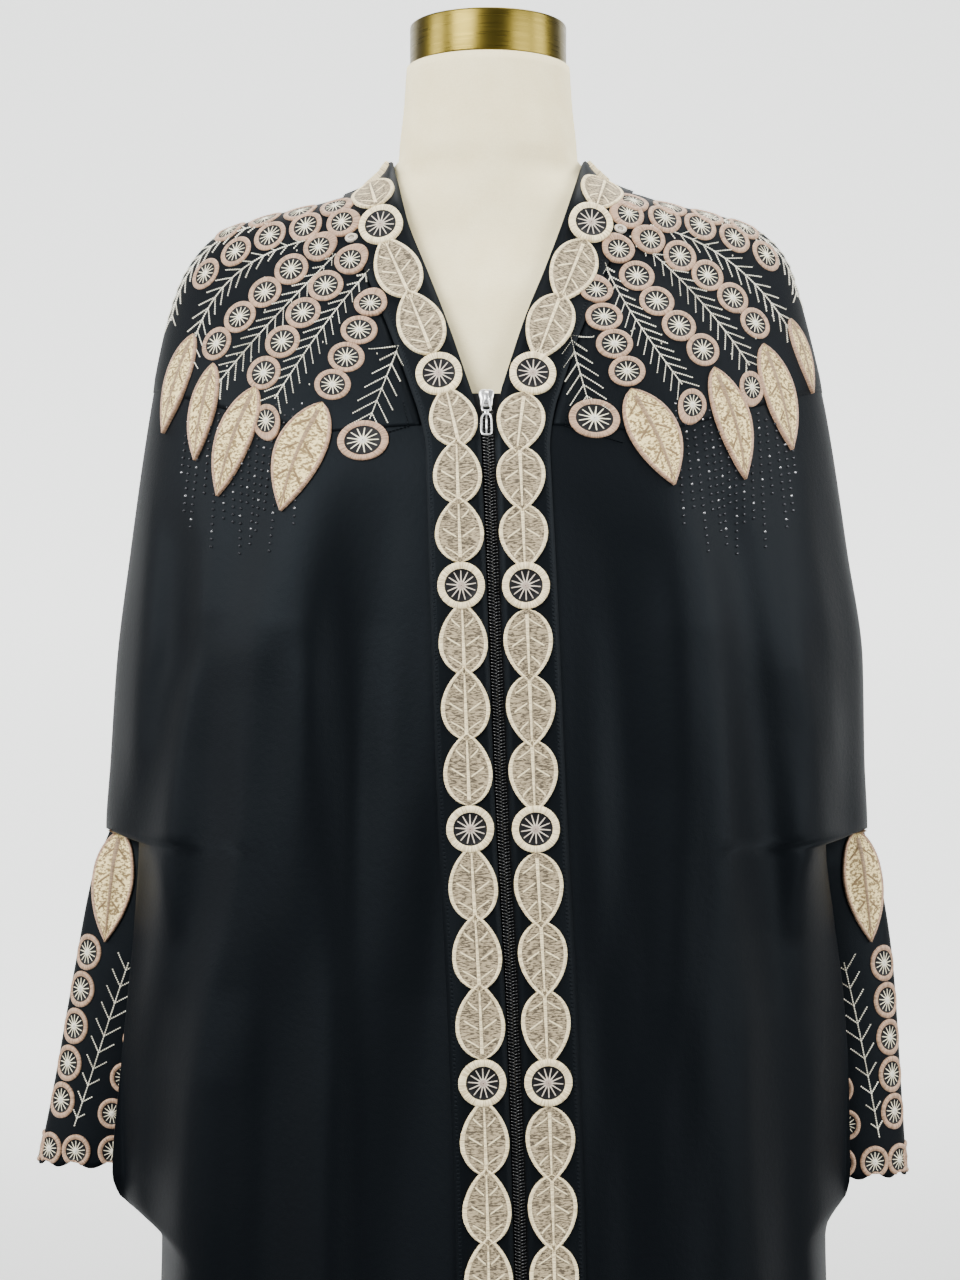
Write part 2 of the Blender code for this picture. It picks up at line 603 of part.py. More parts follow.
# Large leaf appliques that end the yokes' rows, on the wearer's right and left:
# name, top x, top z, tip x, tip z, half width, gap over the front yoke, gap over the back yoke
FRONT_LEAF_LIFT = YOKE_LIFT + OVERLAY
BACK_LEAF_LIFT = BACK_YOKE_LIFT + OVERLAY
LEAVES = {
    -1: (("inner", 0.113, 1.262, 0.141, 1.187, 0.0190, 0.0006, 0.0004),
         ("second", 0.1605, 1.2755, 0.187, 1.199, 0.0155, 0.0006, 0.0006),
         ("third", 0.1925, 1.2945, 0.2045, 1.225, 0.0125, 0.0006, 0.0006),
         ("sleeve", 0.209, 1.318, 0.231, 1.247, 0.0150, 0.0007, 0.0010)),
    1: (("inner", 0.0965, 1.271, 0.1255, 1.2045, 0.0185, 0.0006, -0.0003),
        ("second", 0.1555, 1.289, 0.1765, 1.2105, 0.0150, 0.0006, 0.0006),
        ("third", 0.193, 1.309, 0.2125, 1.2335, 0.0165, 0.0006, 0.0006),
        ("sleeve", 0.216, 1.331, 0.232, 1.277, 0.0115, 0.0007, 0.0010)),
}
LEAF_STATIONS = 5


def leaf_grid(place, top, tip, half_width):
    """Pointed oval between two places seen from the front, three points across."""
    length = hypot(tip[0] - top[0], tip[1] - top[1])
    run = ((tip[0] - top[0]) / length, (tip[1] - top[1]) / length)
    grid = []
    for station in range(LEAF_STATIONS + 1):
        share = station / LEAF_STATIONS
        half = max(0.0012, half_width * sin(pi * share ** 0.85))
        centre = (top[0] + (tip[0] - top[0]) * share, top[1] + (tip[1] - top[1]) * share)
        grid.append([place(centre[0] + run[1] * half * s, centre[1] - run[0] * half * s) for s in (-1, 0, 1)])
    return grid


for side, word in ((-1, "right"), (1, "left")):
    for name, top_x, top_z, tip_x, tip_z, half_width, front_gap, back_gap in LEAVES[side]:
        for face, back, lift in (("front", False, FRONT_LEAF_LIFT + front_gap),
                                 ("back", True, BACK_LEAF_LIFT + back_gap)):
            def on_cloth(x, z, side=side, back=back):
                inside = min(x, reach(side, z) - 0.002)
                return Vector((side * inside, cloth_y(side, back, inside, z), z))
            grid = leaf_grid(on_cloth, (top_x, top_z), (tip_x, tip_z), half_width)
            flip = side * (-1 if back else 1)
            overlay(f"leaf_{face}_{word}_{name}", grid, grid_normals(grid, flip), TAN, LEAF, lift)

# Cuffs: flattened tubes that come out between the sleeve's layers, with a scalloped end.
# Rows of a cuff: height, outer reach, half width, half depth
CUFF_WALL = 0.0016
CUFF_LEAF_LIFT = 0.0014
CUFF_LEAF_TOP = (0.266, 0.948)
CUFF_LEAF_TIP = (0.276, 0.872)
CUFF_LEAF_HALF = 0.0150
CUFFS = {
    -1: ((0.716, 0.331, 0.049, 0.021), (0.770, 0.320, 0.049, 0.021), (0.860, 0.304, 0.049, 0.021),
         (0.935, 0.289, 0.047, 0.018), (0.962, 0.2780, 0.045, 0.0115), (0.984, 0.2745, 0.043, 0.0115)),
    1: ((0.708, 0.308, 0.045, 0.022), (0.770, 0.304, 0.045, 0.022), (0.860, 0.298, 0.046, 0.021),
        (0.935, 0.286, 0.046, 0.018), (0.962, 0.2760, 0.045, 0.0115), (0.984, 0.2735, 0.043, 0.0115)),
}
CUFF_AROUND = 27
CUFF_HEIGHTS = (0.984, 0.962, 0.935, 0.885, 0.805)
SCALLOPS = 9
SCALLOP_DEPTH = 0.007


def cuff_point(side, angle, z, inward=0.0):
    rows = CUFFS[side]
    outer = along([(row[0], row[1]) for row in rows], z)
    half_width = along([(row[0], row[2]) for row in rows], z)
    half_depth = along([(row[0], row[3]) for row in rows], z)
    x = outer - half_width + (half_width - inward) * cos(angle)
    y = (half_depth - inward) * sin(angle) * abs(sin(angle)) ** 0.15
    return Vector((side * x, y, z))


def cuff_grid(side, inward):
    angles = [2 * pi * k / CUFF_AROUND for k in range(CUFF_AROUND)]
    grid = [[cuff_point(side, angle, z, inward) for angle in angles] for z in CUFF_HEIGHTS]
    bottom = CUFFS[side][0][0]
    ends = [bottom + SCALLOP_DEPTH * (1 - abs(sin(SCALLOPS * angle / 2))) for angle in angles]
    return grid + [[cuff_point(side, angle, end, inward) for angle, end in zip(angles, ends)]]


for side, word in ((-1, "right"), (1, "left")):
    wall("cuff_" + word, cuff_grid(side, 0.0), cuff_grid(side, CUFF_WALL), BLACK_CLOTH, 0.6, ring=True)
    for face, turn in (("front", -1), ("back", 1)):
        def on_cuff(x, z, side=side, turn=turn):
            outer = along([(row[0], row[1]) for row in CUFFS[side]], z)
            half_width = along([(row[0], row[2]) for row in CUFFS[side]], z)
            level = max(-0.9, min(0.9, (x - outer + half_width) / half_width))
            return cuff_point(side, turn * acos(level), z)
        grid = leaf_grid(on_cuff, CUFF_LEAF_TOP, CUFF_LEAF_TIP, CUFF_LEAF_HALF)
        overlay(f"cuff_leaf_{face}_{word}", grid, grid_normals(grid, -side * turn), TAN, LEAF, CUFF_LEAF_LIFT)

# Zip: tape behind the fronts, coil between them, slider at the top and its pull tab
TAPE_HALF = 0.0095
TAPE_GAP = CLOTH + 0.0008
TAPE_WALL = 0.0008
COIL_HALF = 0.0039
COIL_PROUD = 0.0010
ZIP_TOP = 1.2565
ZIP_BOTTOM = 0.060


def zip_point(z, offset, proud):
    x = zip_x(z) + offset
    side = 1 if x > 0 else -1
    return Vector((x, cloth_y(side, False, abs(x), z) - proud, z))


zip_heights = [ZIP_TOP] + [row[0] for row in ROWS if ZIP_BOTTOM < row[0] < ZIP_TOP - 0.004] + [ZIP_BOTTOM]
tape_heights = [V_POINT - 0.004] + zip_heights
tape_offsets = (-TAPE_HALF, TAPE_HALF)
wall("zip_tape", [[zip_point(z, o, -TAPE_GAP) for o in tape_offsets] for z in tape_heights],
     [[zip_point(z, o, -TAPE_GAP - TAPE_WALL) for o in tape_offsets] for z in tape_heights], ZIP_BLACK)
coil_offsets = (-COIL_HALF, COIL_HALF)
wall("zip_coil", [[zip_point(z, o, COIL_PROUD) for o in coil_offsets] for z in zip_heights],
     [[zip_point(z, o, SEAM - TAPE_GAP) for o in coil_offsets] for z in zip_heights], ZIP_BLACK)


def box(name, size, offset, colour=None, metallic=0.0, bevel=0.0):
    """Block in its own frame, centred at offset; without a colour it is a cutter."""
    bpy.ops.mesh.primitive_cube_add(size=1)
    made = bpy.context.active_object
    made.data.transform(Matrix.Translation(offset) @ Matrix.Diagonal((*size, 1)))
    made.name = made.data.name = name
    for holder in list(made.users_collection):
        holder.objects.unlink(made)
    if colour is None:
        CUTTERS.objects.link(made)
        made.hide_render = True
        made.display_type = "WIRE"
        return made
    PARTS.objects.link(made)
    made.data.materials.append(material(name, colour, 0.3, metallic))
    if bevel:
        rounding = made.modifiers.new("rounding", "BEVEL")
        rounding.width = bevel
        rounding.segments = 1
    return made


def combine(target, other, operation):
    modifier = target.modifiers.new(other.name, "BOOLEAN")
    modifier.operation = operation
    modifier.object = other
    other.parent = target


# Slider and its crown, tilted with the cloth
SLIDER_WIDTH = 0.0085
SLIDER_TALL = 0.0120
SLIDER_FRONT = 0.0030     # in front of the cloth beside it
CROWN_WIDTH = 0.0028
CROWN_WALL = 0.0012
CROWN_HOLE = 0.0022
CROWN_HOLE_TALL = 0.0046
slider_low, slider_high = ZIP_TOP + 0.0008, ZIP_TOP + 0.0008 + SLIDER_TALL
slider_place = (zip_point(slider_low, 0.0, 0.0) + zip_point(slider_high, 0.0, 0.0)) / 2
slider_tilt = atan2(zip_point(slider_high, 0.0, 0.0).y - zip_point(slider_low, 0.0, 0.0).y, SLIDER_TALL)
slider_deep = SLIDER_FRONT + TAPE_GAP - 2 * SEAM
slider = box("zip_slider", (SLIDER_WIDTH, slider_deep, SLIDER_TALL),
             (0, slider_deep / 2 - SLIDER_FRONT, 0), SILVER, 1.0, 0.0008)
crown_deep = CROWN_HOLE + CROWN_WALL
crown = box("crown_block", (CROWN_WIDTH, crown_deep + 0.001, CROWN_HOLE_TALL + 2 * CROWN_WALL),
            (0, 0.0005 - SLIDER_FRONT - crown_deep / 2, 0))
hole_y = -SLIDER_FRONT - CROWN_HOLE / 2
hole = box("crown_hole", (0.02, CROWN_HOLE, CROWN_HOLE_TALL), (0, hole_y, 0))
combine(slider, crown, "UNION")
combine(slider, hole, "DIFFERENCE")
slider.location = slider_place
slider.rotation_euler = (-slider_tilt, 0, 0)

# Pull tab: an open frame, its top bar through the crown, hinged on that bar
PULL_WIDTH = 0.0078
PULL_TALL = 0.0280
PULL_THICK = 0.0012
PULL_BAR = 0.0013
PULL_RIM = 0.0013
EYE_TALL = 0.0078
PULL_REST = radians(22)
axis_drop = CROWN_HOLE_TALL / 2 - PULL_BAR / 2 - 0.0004
PULL_AXIS = slider_place + Matrix.Rotation(-slider_tilt, 3, "X") @ Vector((0, hole_y, -axis_drop))
pull = box("zip_pull", (PULL_WIDTH, PULL_THICK, PULL_TALL), (0, 0, PULL_BAR / 2 - PULL_TALL / 2), SILVER, 1.0)
window_top = -PULL_BAR / 2 - EYE_TALL - 2 * PULL_RIM
window_tall = PULL_TALL - PULL_BAR - EYE_TALL - 3 * PULL_RIM
slot_width = (PULL_WIDTH - 3 * PULL_RIM) / 2
openings = [("pull_eye", PULL_WIDTH - 2 * PULL_RIM, EYE_TALL, 0.0, -PULL_BAR / 2 - EYE_TALL / 2)]
for sign in (-1, 1):
    openings.append((f"pull_slot_{sign + 2}", slot_width, window_tall,
                     sign * (slot_width + PULL_RIM) / 2, window_top - window_tall / 2))
for name, width, tall, x, z in openings:
    combine(pull, box(name, (width, 0.01, tall), (x, 0, z)), "DIFFERENCE")
pull.location = PULL_AXIS
pull.rotation_euler = (-PULL_REST, 0, 0)

# Dress form: torso and neck, metal cap, pole and round base.
# Rows of the torso: height, reach, front, back, squareness of the section
FORM = (
    (0.800, 0.118, 0.066, 0.074, 2.2),
    (0.812, 0.145, 0.088, 0.098, 2.2),
    (0.870, 0.163, 0.102, 0.114, 2.2),
    (0.950, 0.162, 0.104, 0.114, 2.2),
    (1.060, 0.134, 0.092, 0.086, 2.2),
    (1.140, 0.140, 0.106, 0.090, 2.2),
    (1.215, 0.154, 0.124, 0.098, 2.2),
    (1.285, 0.168, 0.108, 0.104, 2.1),
    (1.340, 0.180, 0.088, 0.094, 2.0),
    (1.375, 0.183, 0.072, 0.084, 1.9),
    (1.392, 0.178, 0.066, 0.078, 1.8),
)
SHOULDER_HEIGHTS = (1.404, 1.4125, 1.4200, 1.4280, 1.436, 1.442)
SHOULDER_CLEARANCE = 0.0030
NECK = ((1.449, 0.0660), (1.465, 0.0648), (1.490, 0.0620), (1.519, 0.0600))
FORM_AROUND = 24
NECK_DEPTH = 0.0655
FORM_CHEST = 0.071
CAP_RADIUS = 0.0575
CAP_TALL = 0.031
CAP_GAP = 0.0003
POLE_RADIUS = 0.0125
BASE_RADIUS = 0.150
BASE_TALL = 0.012


def form_rings():
    rings = []
    for z, wide, front, back, square in FORM:
        rings.append((z, {-1: wide, 1: wide}, front, back, square, 2.0))
    for z in SHOULDER_HEIGHTS:
        wide = {side: min(0.178, reach(side, z + SHOULDER_CLEARANCE)) for side in (-1, 1)}
        rise = (z - SHOULDER_HEIGHTS[0]) / (SHOULDER_HEIGHTS[-1] - SHOULDER_HEIGHTS[0])
        back = FORM_CHEST + (NECK_DEPTH - FORM_CHEST) * rise
        rings.append((z, wide, NECK_DEPTH, back, 1.55, 1.5))
    for z, radius in NECK:
        rings.append((z, {-1: radius, 1: radius}, radius, radius, 2.0, 2.0))
    return rings


def form_ring(z, wide, front, back, square, blunt):
    ring = []
    for k in range(FORM_AROUND):
        angle = 2 * pi * k / FORM_AROUND
        side = 1 if cos(angle) >= 0 else -1
        share = abs(cos(angle))
        deep = front if sin(angle) < 0 else back
        rounding = max(0.0, 1 - share ** square) ** (1 / blunt)
        y = deep * rounding if abs(sin(angle)) > 1e-6 else 0.0
        ring.append(Vector((side * share * wide[side], y if sin(angle) > 0 else -y, z)))
    return ring


def lofted(name, rings, colour, roughness):
    shape = bmesh.new()
    lines = [[shape.verts.new(p) for p in ring] for ring in rings]
    for low, high in zip(lines, lines[1:]):
        for k in range(len(low)):
            n = (k + 1) % len(low)
            shape.faces.new((low[k], low[n], high[n], high[k]))
    shape.faces.new(lines[0])
    shape.faces.new(lines[-1])
    bmesh.ops.recalc_face_normals(shape, faces=shape.faces)
    mesh = bpy.data.meshes.new(name)
    shape.to_mesh(mesh)
    shape.free()
    mesh.shade_smooth()
    mesh.set_sharp_from_angle(angle=radians(50))
    return add_object(name, mesh, colour, roughness)


def cylinder(name, radius, low, high, colour, sides, bevel=0.0):
    bpy.ops.mesh.primitive_cylinder_add(vertices=sides, radius=radius, depth=high - low,
                                        location=(0, 0, (high + low) / 2))
    made = bpy.context.active_object
    made.name = made.data.name = name
    for holder in list(made.users_collection):
        holder.objects.unlink(made)
    PARTS.objects.link(made)
    made.data.materials.append(material(name, colour, 0.2, 1.0))
    made.data.shade_smooth()
    made.data.set_sharp_from_angle(angle=radians(40))
    if bevel:
        rounding = made.modifiers.new("rounding", "BEVEL")
        rounding.width = bevel
        rounding.segments = 1
    return made


lofted("form_torso", [form_ring(*ring) for ring in form_rings()], LINEN, 0.9)
neck_top = NECK[-1][0]
cylinder("form_cap", CAP_RADIUS, neck_top + CAP_GAP, neck_top + CAP_GAP + CAP_TALL, GOLD, 32, 0.0012)
cylinder("form_pole", POLE_RADIUS, BASE_TALL + CAP_GAP, FORM[0][0] - CAP_GAP, GOLD, 16)
cylinder("form_base", BASE_RADIUS, 0.0, BASE_TALL, GOLD, 40, 0.002)
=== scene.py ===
import bpy
import json
import math
import numpy as np
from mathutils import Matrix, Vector
from mathutils.bvhtree import BVHTree


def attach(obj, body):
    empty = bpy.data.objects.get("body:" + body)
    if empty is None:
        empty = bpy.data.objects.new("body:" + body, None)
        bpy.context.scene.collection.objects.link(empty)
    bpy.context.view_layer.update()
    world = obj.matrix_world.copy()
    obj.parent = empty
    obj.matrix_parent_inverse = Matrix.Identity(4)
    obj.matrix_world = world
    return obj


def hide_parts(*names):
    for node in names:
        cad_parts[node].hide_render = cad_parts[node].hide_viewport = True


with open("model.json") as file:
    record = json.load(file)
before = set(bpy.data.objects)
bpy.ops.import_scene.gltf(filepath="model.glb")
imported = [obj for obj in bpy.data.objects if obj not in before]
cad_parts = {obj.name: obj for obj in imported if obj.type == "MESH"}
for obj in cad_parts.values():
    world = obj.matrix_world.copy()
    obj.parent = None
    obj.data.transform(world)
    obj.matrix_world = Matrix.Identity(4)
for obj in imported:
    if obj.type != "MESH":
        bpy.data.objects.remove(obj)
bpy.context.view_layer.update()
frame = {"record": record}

# Dress form: a padded shell covered with cream linen, seamed down the middle of the front and back.
# It stands under a polished metal neck cap, on a metal pole and a round weighted base.
BODY = "garment_and_form"
SHOULDER_POINT, SLEEVE_HEAD, V_POINT, NECK_REACH = 1.450, 1.398, 1.272, 0.070
# The garment's outer edge as (height, reach from the middle); side -1 is the wearer's right, 1 the left
REACH = {
    -1: ((0.027, 0.318), (0.2, 0.29), (0.45, 0.258), (0.62, 0.24), (0.668, 0.239), (0.68, 0.246),
         (0.688, 0.258), (0.698, 0.267), (0.716, 0.271), (0.78, 0.266), (0.845, 0.26), (0.9, 0.255),
         (0.955, 0.252), (0.962, 0.281), (1.009, 0.278), (1.085, 0.273), (1.165, 0.263), (1.262, 0.249),
         (1.321, 0.238), (1.358, 0.227), (1.3786, 0.216), (1.398, 0.1965), (1.407, 0.172), (1.4206, 0.117),
         (1.439, 0.0775), (1.45, 0.07)),
    1: ((0.027, 0.33), (0.2, 0.3), (0.45, 0.266), (0.62, 0.248), (0.668, 0.247), (0.68, 0.249),
        (0.688, 0.254), (0.698, 0.259), (0.716, 0.261), (0.78, 0.26), (0.845, 0.256), (0.9, 0.249),
        (0.955, 0.243), (0.962, 0.279), (1.009, 0.277), (1.085, 0.2755), (1.165, 0.264), (1.262, 0.249),
        (1.321, 0.236), (1.358, 0.226), (1.3786, 0.2185), (1.398, 0.201), (1.407, 0.181), (1.4206, 0.126),
        (1.439, 0.08), (1.45, 0.07)),
}
# The form's stations: height, half width, depth at the front and at the back, squareness
FORM = np.array((
    (0.800, 0.118, 0.066, 0.074, 2.2), (0.812, 0.145, 0.088, 0.098, 2.2), (0.870, 0.163, 0.102, 0.114, 2.2),
    (0.950, 0.162, 0.104, 0.114, 2.2), (1.060, 0.134, 0.092, 0.086, 2.2), (1.140, 0.140, 0.106, 0.090, 2.2),
    (1.215, 0.154, 0.124, 0.098, 2.2), (1.285, 0.168, 0.108, 0.104, 2.1), (1.340, 0.180, 0.088, 0.094, 2.0),
    (1.375, 0.183, 0.072, 0.084, 1.9), (1.392, 0.178, 0.066, 0.078, 1.8), (1.404, 0.176, 0.0655, 0.071, 1.55),
    (1.442, 0.0735, 0.0655, 0.0655, 1.55), (1.449, 0.066, 0.066, 0.066, 2.0),
    (1.465, 0.0648, 0.0648, 0.0648, 2.0), (1.490, 0.062, 0.062, 0.062, 2.0), (1.519, 0.06, 0.06, 0.06, 2.0)))


class Socket:
    """A shader socket that adds and multiplies like a number."""

    def __init__(self, tree, end):
        self.tree, self.end = tree, end

    def node(self, kind, settings=None, inputs=None, output=0):
        made = self.tree.nodes.new(kind)
        for name, value in (settings or {}).items():
            if name == "stops":
                ramp = made.color_ramp
                while len(ramp.elements) < len(value):
                    ramp.elements.new(1.0)
                for stop, (place, colour) in zip(ramp.elements, value):
                    stop.position = place
                    stop.color = colour if hasattr(colour, "__len__") else (colour, colour, colour, 1)
            else:
                setattr(made, name, value)
        for name, value in (inputs or {}).items():
            if isinstance(value, Socket):
                self.tree.links.new(value.end, made.inputs[name])
            else:
                made.inputs[name].default_value = value
        return Socket(self.tree, made.outputs[output])

    def maths(self, operation, *values):
        return self.node("ShaderNodeMath", {"operation": operation}, dict(enumerate(values)))

    def __add__(self, other):
        return self.maths("ADD", self, other)

    def __sub__(self, other):
        return self.maths("SUBTRACT", self, other)

    def __rsub__(self, other):
        return self.maths("SUBTRACT", other, self)

    def __mul__(self, other):
        return self.maths("MULTIPLY", self, other)

    def __truediv__(self, other):
        return self.maths("DIVIDE", self, other)

    def __pow__(self, other):
        return self.maths("POWER", self, other)

    __radd__ = __add__
    __rmul__ = __mul__

    def sin(self):
        return self.maths("SINE", self)

    def size(self):
        return self.maths("ABSOLUTE", self)

    def above(self, edge, soft=0.05):
        """0 below edge, 1 above it, with a soft step between."""
        return self.node("ShaderNodeMapRange", {"interpolation_type": "SMOOTHSTEP"},
                         {"Value": self, "From Min": edge - soft, "From Max": edge + soft})

    def paint(self, low, high):
        """Colour that goes from low to high with this value."""
        sides = {}
        for place, colour in ((6, low), (7, high)):
            sides[place] = colour if isinstance(colour, Socket) else (*colour, 1.0)
        return self.node("ShaderNodeMix", {"data_type": "RGBA"}, {0: self, **sides}, 2)


class Finish:
    """A material on one Principled shader, and the coordinates its patterns are drawn in."""

    def __init__(self, name, colour, roughness, metallic=0.0, **fixed):
        self.material = bpy.data.materials.new(name)
        self.material.use_nodes = True
        self.tree = self.material.node_tree
        self.shader = self.tree.nodes["Principled BSDF"]
        self.start = Socket(self.tree, None)
        values = {"Base Color": (*colour, 1.0), "Roughness": roughness, "Metallic": metallic}
        for socket, value in {**values, **fixed}.items():
            self.shader.inputs[socket.replace("_", " ")].default_value = value

    def uv(self):
        where = self.start.node("ShaderNodeUVMap", {"uv_map": "cut"})
        return [self.start.node("ShaderNodeSeparateXYZ", {}, {0: where}, axis) for axis in (0, 1)]

    def place(self):
        """Position on the object itself, in metres."""
        return self.start.node("ShaderNodeTexCoord", {}, {}, 3)

    def noise(self, vector, scale, detail=2.0, roughness=0.5):
        inputs = {"Vector": vector, "Scale": scale, "Detail": detail, "Roughness": roughness}
        return self.start.node("ShaderNodeTexNoise", {}, inputs)

    def stretched(self, vector, scales):
        return self.start.node("ShaderNodeVectorMath", {"operation": "MULTIPLY"}, {0: vector, 1: scales})

    def threads(self, beside, along_them):
        """Fine threads side by side, counted by beside; no two motifs match."""
        flat = self.start.node("ShaderNodeCombineXYZ", {}, {"X": beside, "Y": along_them})
        shifted = self.start.node("ShaderNodeVectorMath", {"operation": "ADD"},
                                  {0: flat, 1: self.stretched(self.place(), (45, 45, 45))})
        return self.noise(shifted, 1.0, 2.0, 0.6)

    def set(self, socket, value):
        self.tree.links.new(value.end, self.shader.inputs[socket])

    def relief(self, height, distance, strength):
        inputs = {"Height": height, "Distance": distance, "Strength": strength}
        self.set("Normal", self.start.node("ShaderNodeBump", {}, inputs))


def along(points, at):
    """Monotone cubic through (position, value) pairs, held level past both ends."""
    points = np.array(points, float)
    x, y = points[np.argsort(points[:, 0])].T
    at = np.clip(at, x[0], x[-1])
    slopes = np.diff(y) / np.diff(x)
    both = slopes[:-1] * slopes[1:]
    inner = np.where(both > 0, 2 * both / (np.where(both > 0, slopes[:-1] + slopes[1:], 1.0)), 0.0)
    tangents = np.concatenate((slopes[:1], inner, slopes[-1:]))
    i = np.clip(np.searchsorted(x, at) - 1, 0, len(slopes) - 1)
    step = x[i + 1] - x[i]
    t = (at - x[i]) / step
    return ((1 + 2 * t) * (1 - t) ** 2 * y[i] + t * (1 - t) ** 2 * step * tangents[i]
            + t * t * (3 - 2 * t) * y[i + 1] + t * t * (t - 1) * step * tangents[i + 1])


def reach(side, z):
    return along(REACH[side], z)


def grid_faces(rows, columns, ring=False, start=0):
    """Quads of a grid of points, numbered row by row."""
    i, j = np.meshgrid(np.arange(rows - 1), np.arange(columns if ring else columns - 1), indexing="ij")
    k = (j + 1) % columns
    quads = np.stack((i * columns + j, i * columns + k, (i + 1) * columns + k, (i + 1) * columns + j), -1)
    return quads.reshape(-1, 4) + start


def circle(count, blunt=1.0):
    """Points round a circle of radius 1, or round a blunter shape where blunt is below 1."""
    angle = np.linspace(0, 2 * np.pi, count, endpoint=False)
    waves = np.stack((np.cos(angle), np.sin(angle)), -1)
    return np.sign(waves) * np.abs(waves) ** blunt


def add_mesh(name, points, faces, finish, uv=None, replaces=(), body=BODY):
    """Makes a piece that rides on a body and stands for CAD nodes, which it hides."""
    points = np.asarray(points)
    if faces is None:
        faces = grid_faces(*points.shape[:2])
    mesh = bpy.data.meshes.new(name)
    mesh.from_pydata(points.reshape(-1, 3).tolist(), [], np.asarray(faces).tolist())
    if uv is not None:
        corners = np.zeros(len(mesh.loops), int)
        mesh.loops.foreach_get("vertex_index", corners)
        drawn = np.asarray(uv, float).reshape(-1, 2)[corners]
        mesh.uv_layers.new(name="cut").data.foreach_set("uv", drawn.ravel())
    mesh.materials.append(finish.material)
    mesh.polygons.foreach_set("use_smooth", [True] * len(mesh.polygons))
    made = bpy.data.objects.new(name, mesh)
    bpy.context.scene.collection.objects.link(made)
    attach(made, body)
    if replaces:
        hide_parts(*replaces)
    return made


def turned(name, profile, finish, node, around=128):
    """A piece turned about the form's axis from (radius, height) points."""
    radius, height = np.array(profile).T[..., None]
    across, deep = circle(around).T
    points = np.stack((radius * across, radius * deep, height + 0 * across), -1)
    return add_mesh(name, points, grid_faces(len(profile), around, ring=True), finish, replaces=(node,))


def rounded(radius, low, high, bevel):
    """Profile of a disc or tube with rounded edges, from its underside's middle to its top's."""
    turn = np.linspace(0, math.pi / 2, 6)
    lower = [(radius - bevel + bevel * math.sin(a), low + bevel - bevel * math.cos(a)) for a in turn]
    upper = [(radius - bevel + bevel * math.cos(a), high - bevel + bevel * math.sin(a)) for a in turn]
    return [(0.0, low)] + lower + upper + [(0.0, high)]


linen = Finish("cream_linen", (0.80, 0.70, 0.52), 0.88, Sheen_Weight=0.1)
spot = linen.place()
warp, weft = (linen.noise(linen.stretched(spot, scales), 1.0, 3.0)
              for scales in ((2600, 2600, 300), (300, 300, 2600)))
weave = (warp + weft) * 0.5
slub = linen.noise(spot, 38.0, 4.0)
mottled = (weave * 0.6 + slub * 0.4).above(0.5, 0.25)
linen.set("Base Color", mottled.paint((0.84, 0.72, 0.40), (1.0, 0.90, 0.57)))
linen.relief(weave, 0.0004, 0.5)
gold = Finish("polished_gold_metal", (0.125, 0.094, 0.017), 0.30, 1.0)
brushed = gold.noise(gold.stretched(gold.place(), (30, 30, 900)), 1.0, 2.0)
gold.set("Roughness", brushed.above(0.5, 0.4) * 0.12 + 0.24)

# The shoulders' slope follows the garment between these heights, a little below the cloth
SLOPE_FOOT, SLOPE_TOP, SLOPE_END, SLOPE_REACH, UNDER_CLOTH = 1.392, 1.445, 1.449, 0.178, 0.0034
FORM_FOOT, FORM_AROUND = 0.800, 120
across, deep = circle(FORM_AROUND).T
side, share = np.where(across >= 0, 1, -1), np.abs(across)
form_rings = [np.zeros((FORM_AROUND, 3)) + (0, 0, FORM_FOOT)]
for z in np.concatenate((np.linspace(FORM_FOOT, 0.84, 8, endpoint=False), np.linspace(0.84, 1.519, 110))):
    wide, front, back, square = (along(FORM[:, (0, column)], z) for column in (1, 2, 3, 4))
    blunt = 2.0 if z < SLOPE_FOOT or z > SLOPE_END else 1.5
    if SLOPE_FOOT < z < SLOPE_TOP:
        right, left = (min(SLOPE_REACH, float(reach(hand, z + UNDER_CLOTH))) for hand in (-1, 1))
        wide = np.where(side > 0, left, right)
        blunt = 2.0 - 0.5 * min(1.0, (z - SLOPE_FOOT) / 0.012) * min(1.0, (SLOPE_END - z) / 0.007)
    depth = np.where(deep < 0, -front, back) * np.maximum(0, 1 - share ** square) ** (1 / blunt)
    depth = np.where(np.abs(deep) < 1e-6, 0, depth)
    form_rings.append(np.stack((side * share * wide, depth, np.full(FORM_AROUND, z)), -1))
form_rings.append(np.zeros((FORM_AROUND, 3)) + (0, 0, z))
torso = add_mesh("linen_torso", form_rings, grid_faces(len(form_rings), FORM_AROUND, ring=True), linen,
                 replaces=("form_torso",))
turned("neck_cap", rounded(0.0575, 1.5193, 1.5503, 0.0016), gold, "form_cap")
turned("pole", rounded(0.0125, 0.0123, 0.7997, 0.0008), gold, "form_pole", 48)
turned("foot", rounded(0.150, 0.0, 0.012, 0.003), gold, "form_base")

# The abaya's fronts and back, each cut in one with its bat-wing sleeve from black satin-backed crepe.
# They are seamed over the shoulders and down the sides, and hang from the form in long soft folds.
# Reach of the cloth's fullness behind the sleeve slot, where the edge itself stands further in
FULL = {
    -1: ((0.5, 0.254), (0.6, 0.258), (0.72, 0.274), (0.85, 0.279), (0.93, 0.2806), (0.962, 0.281),
         (1.0, 0.2786)),
    1: ((0.5, 0.262), (0.6, 0.264), (0.72, 0.268), (0.85, 0.274), (0.93, 0.2778), (0.962, 0.279),
        (1.0, 0.2774)),
}
EDGE_ROUNDING, SLOT_ROUNDING = 1.3, 0.6
ROUNDING_FADE = ((0.89, 1.0), (0.955, 0.3))
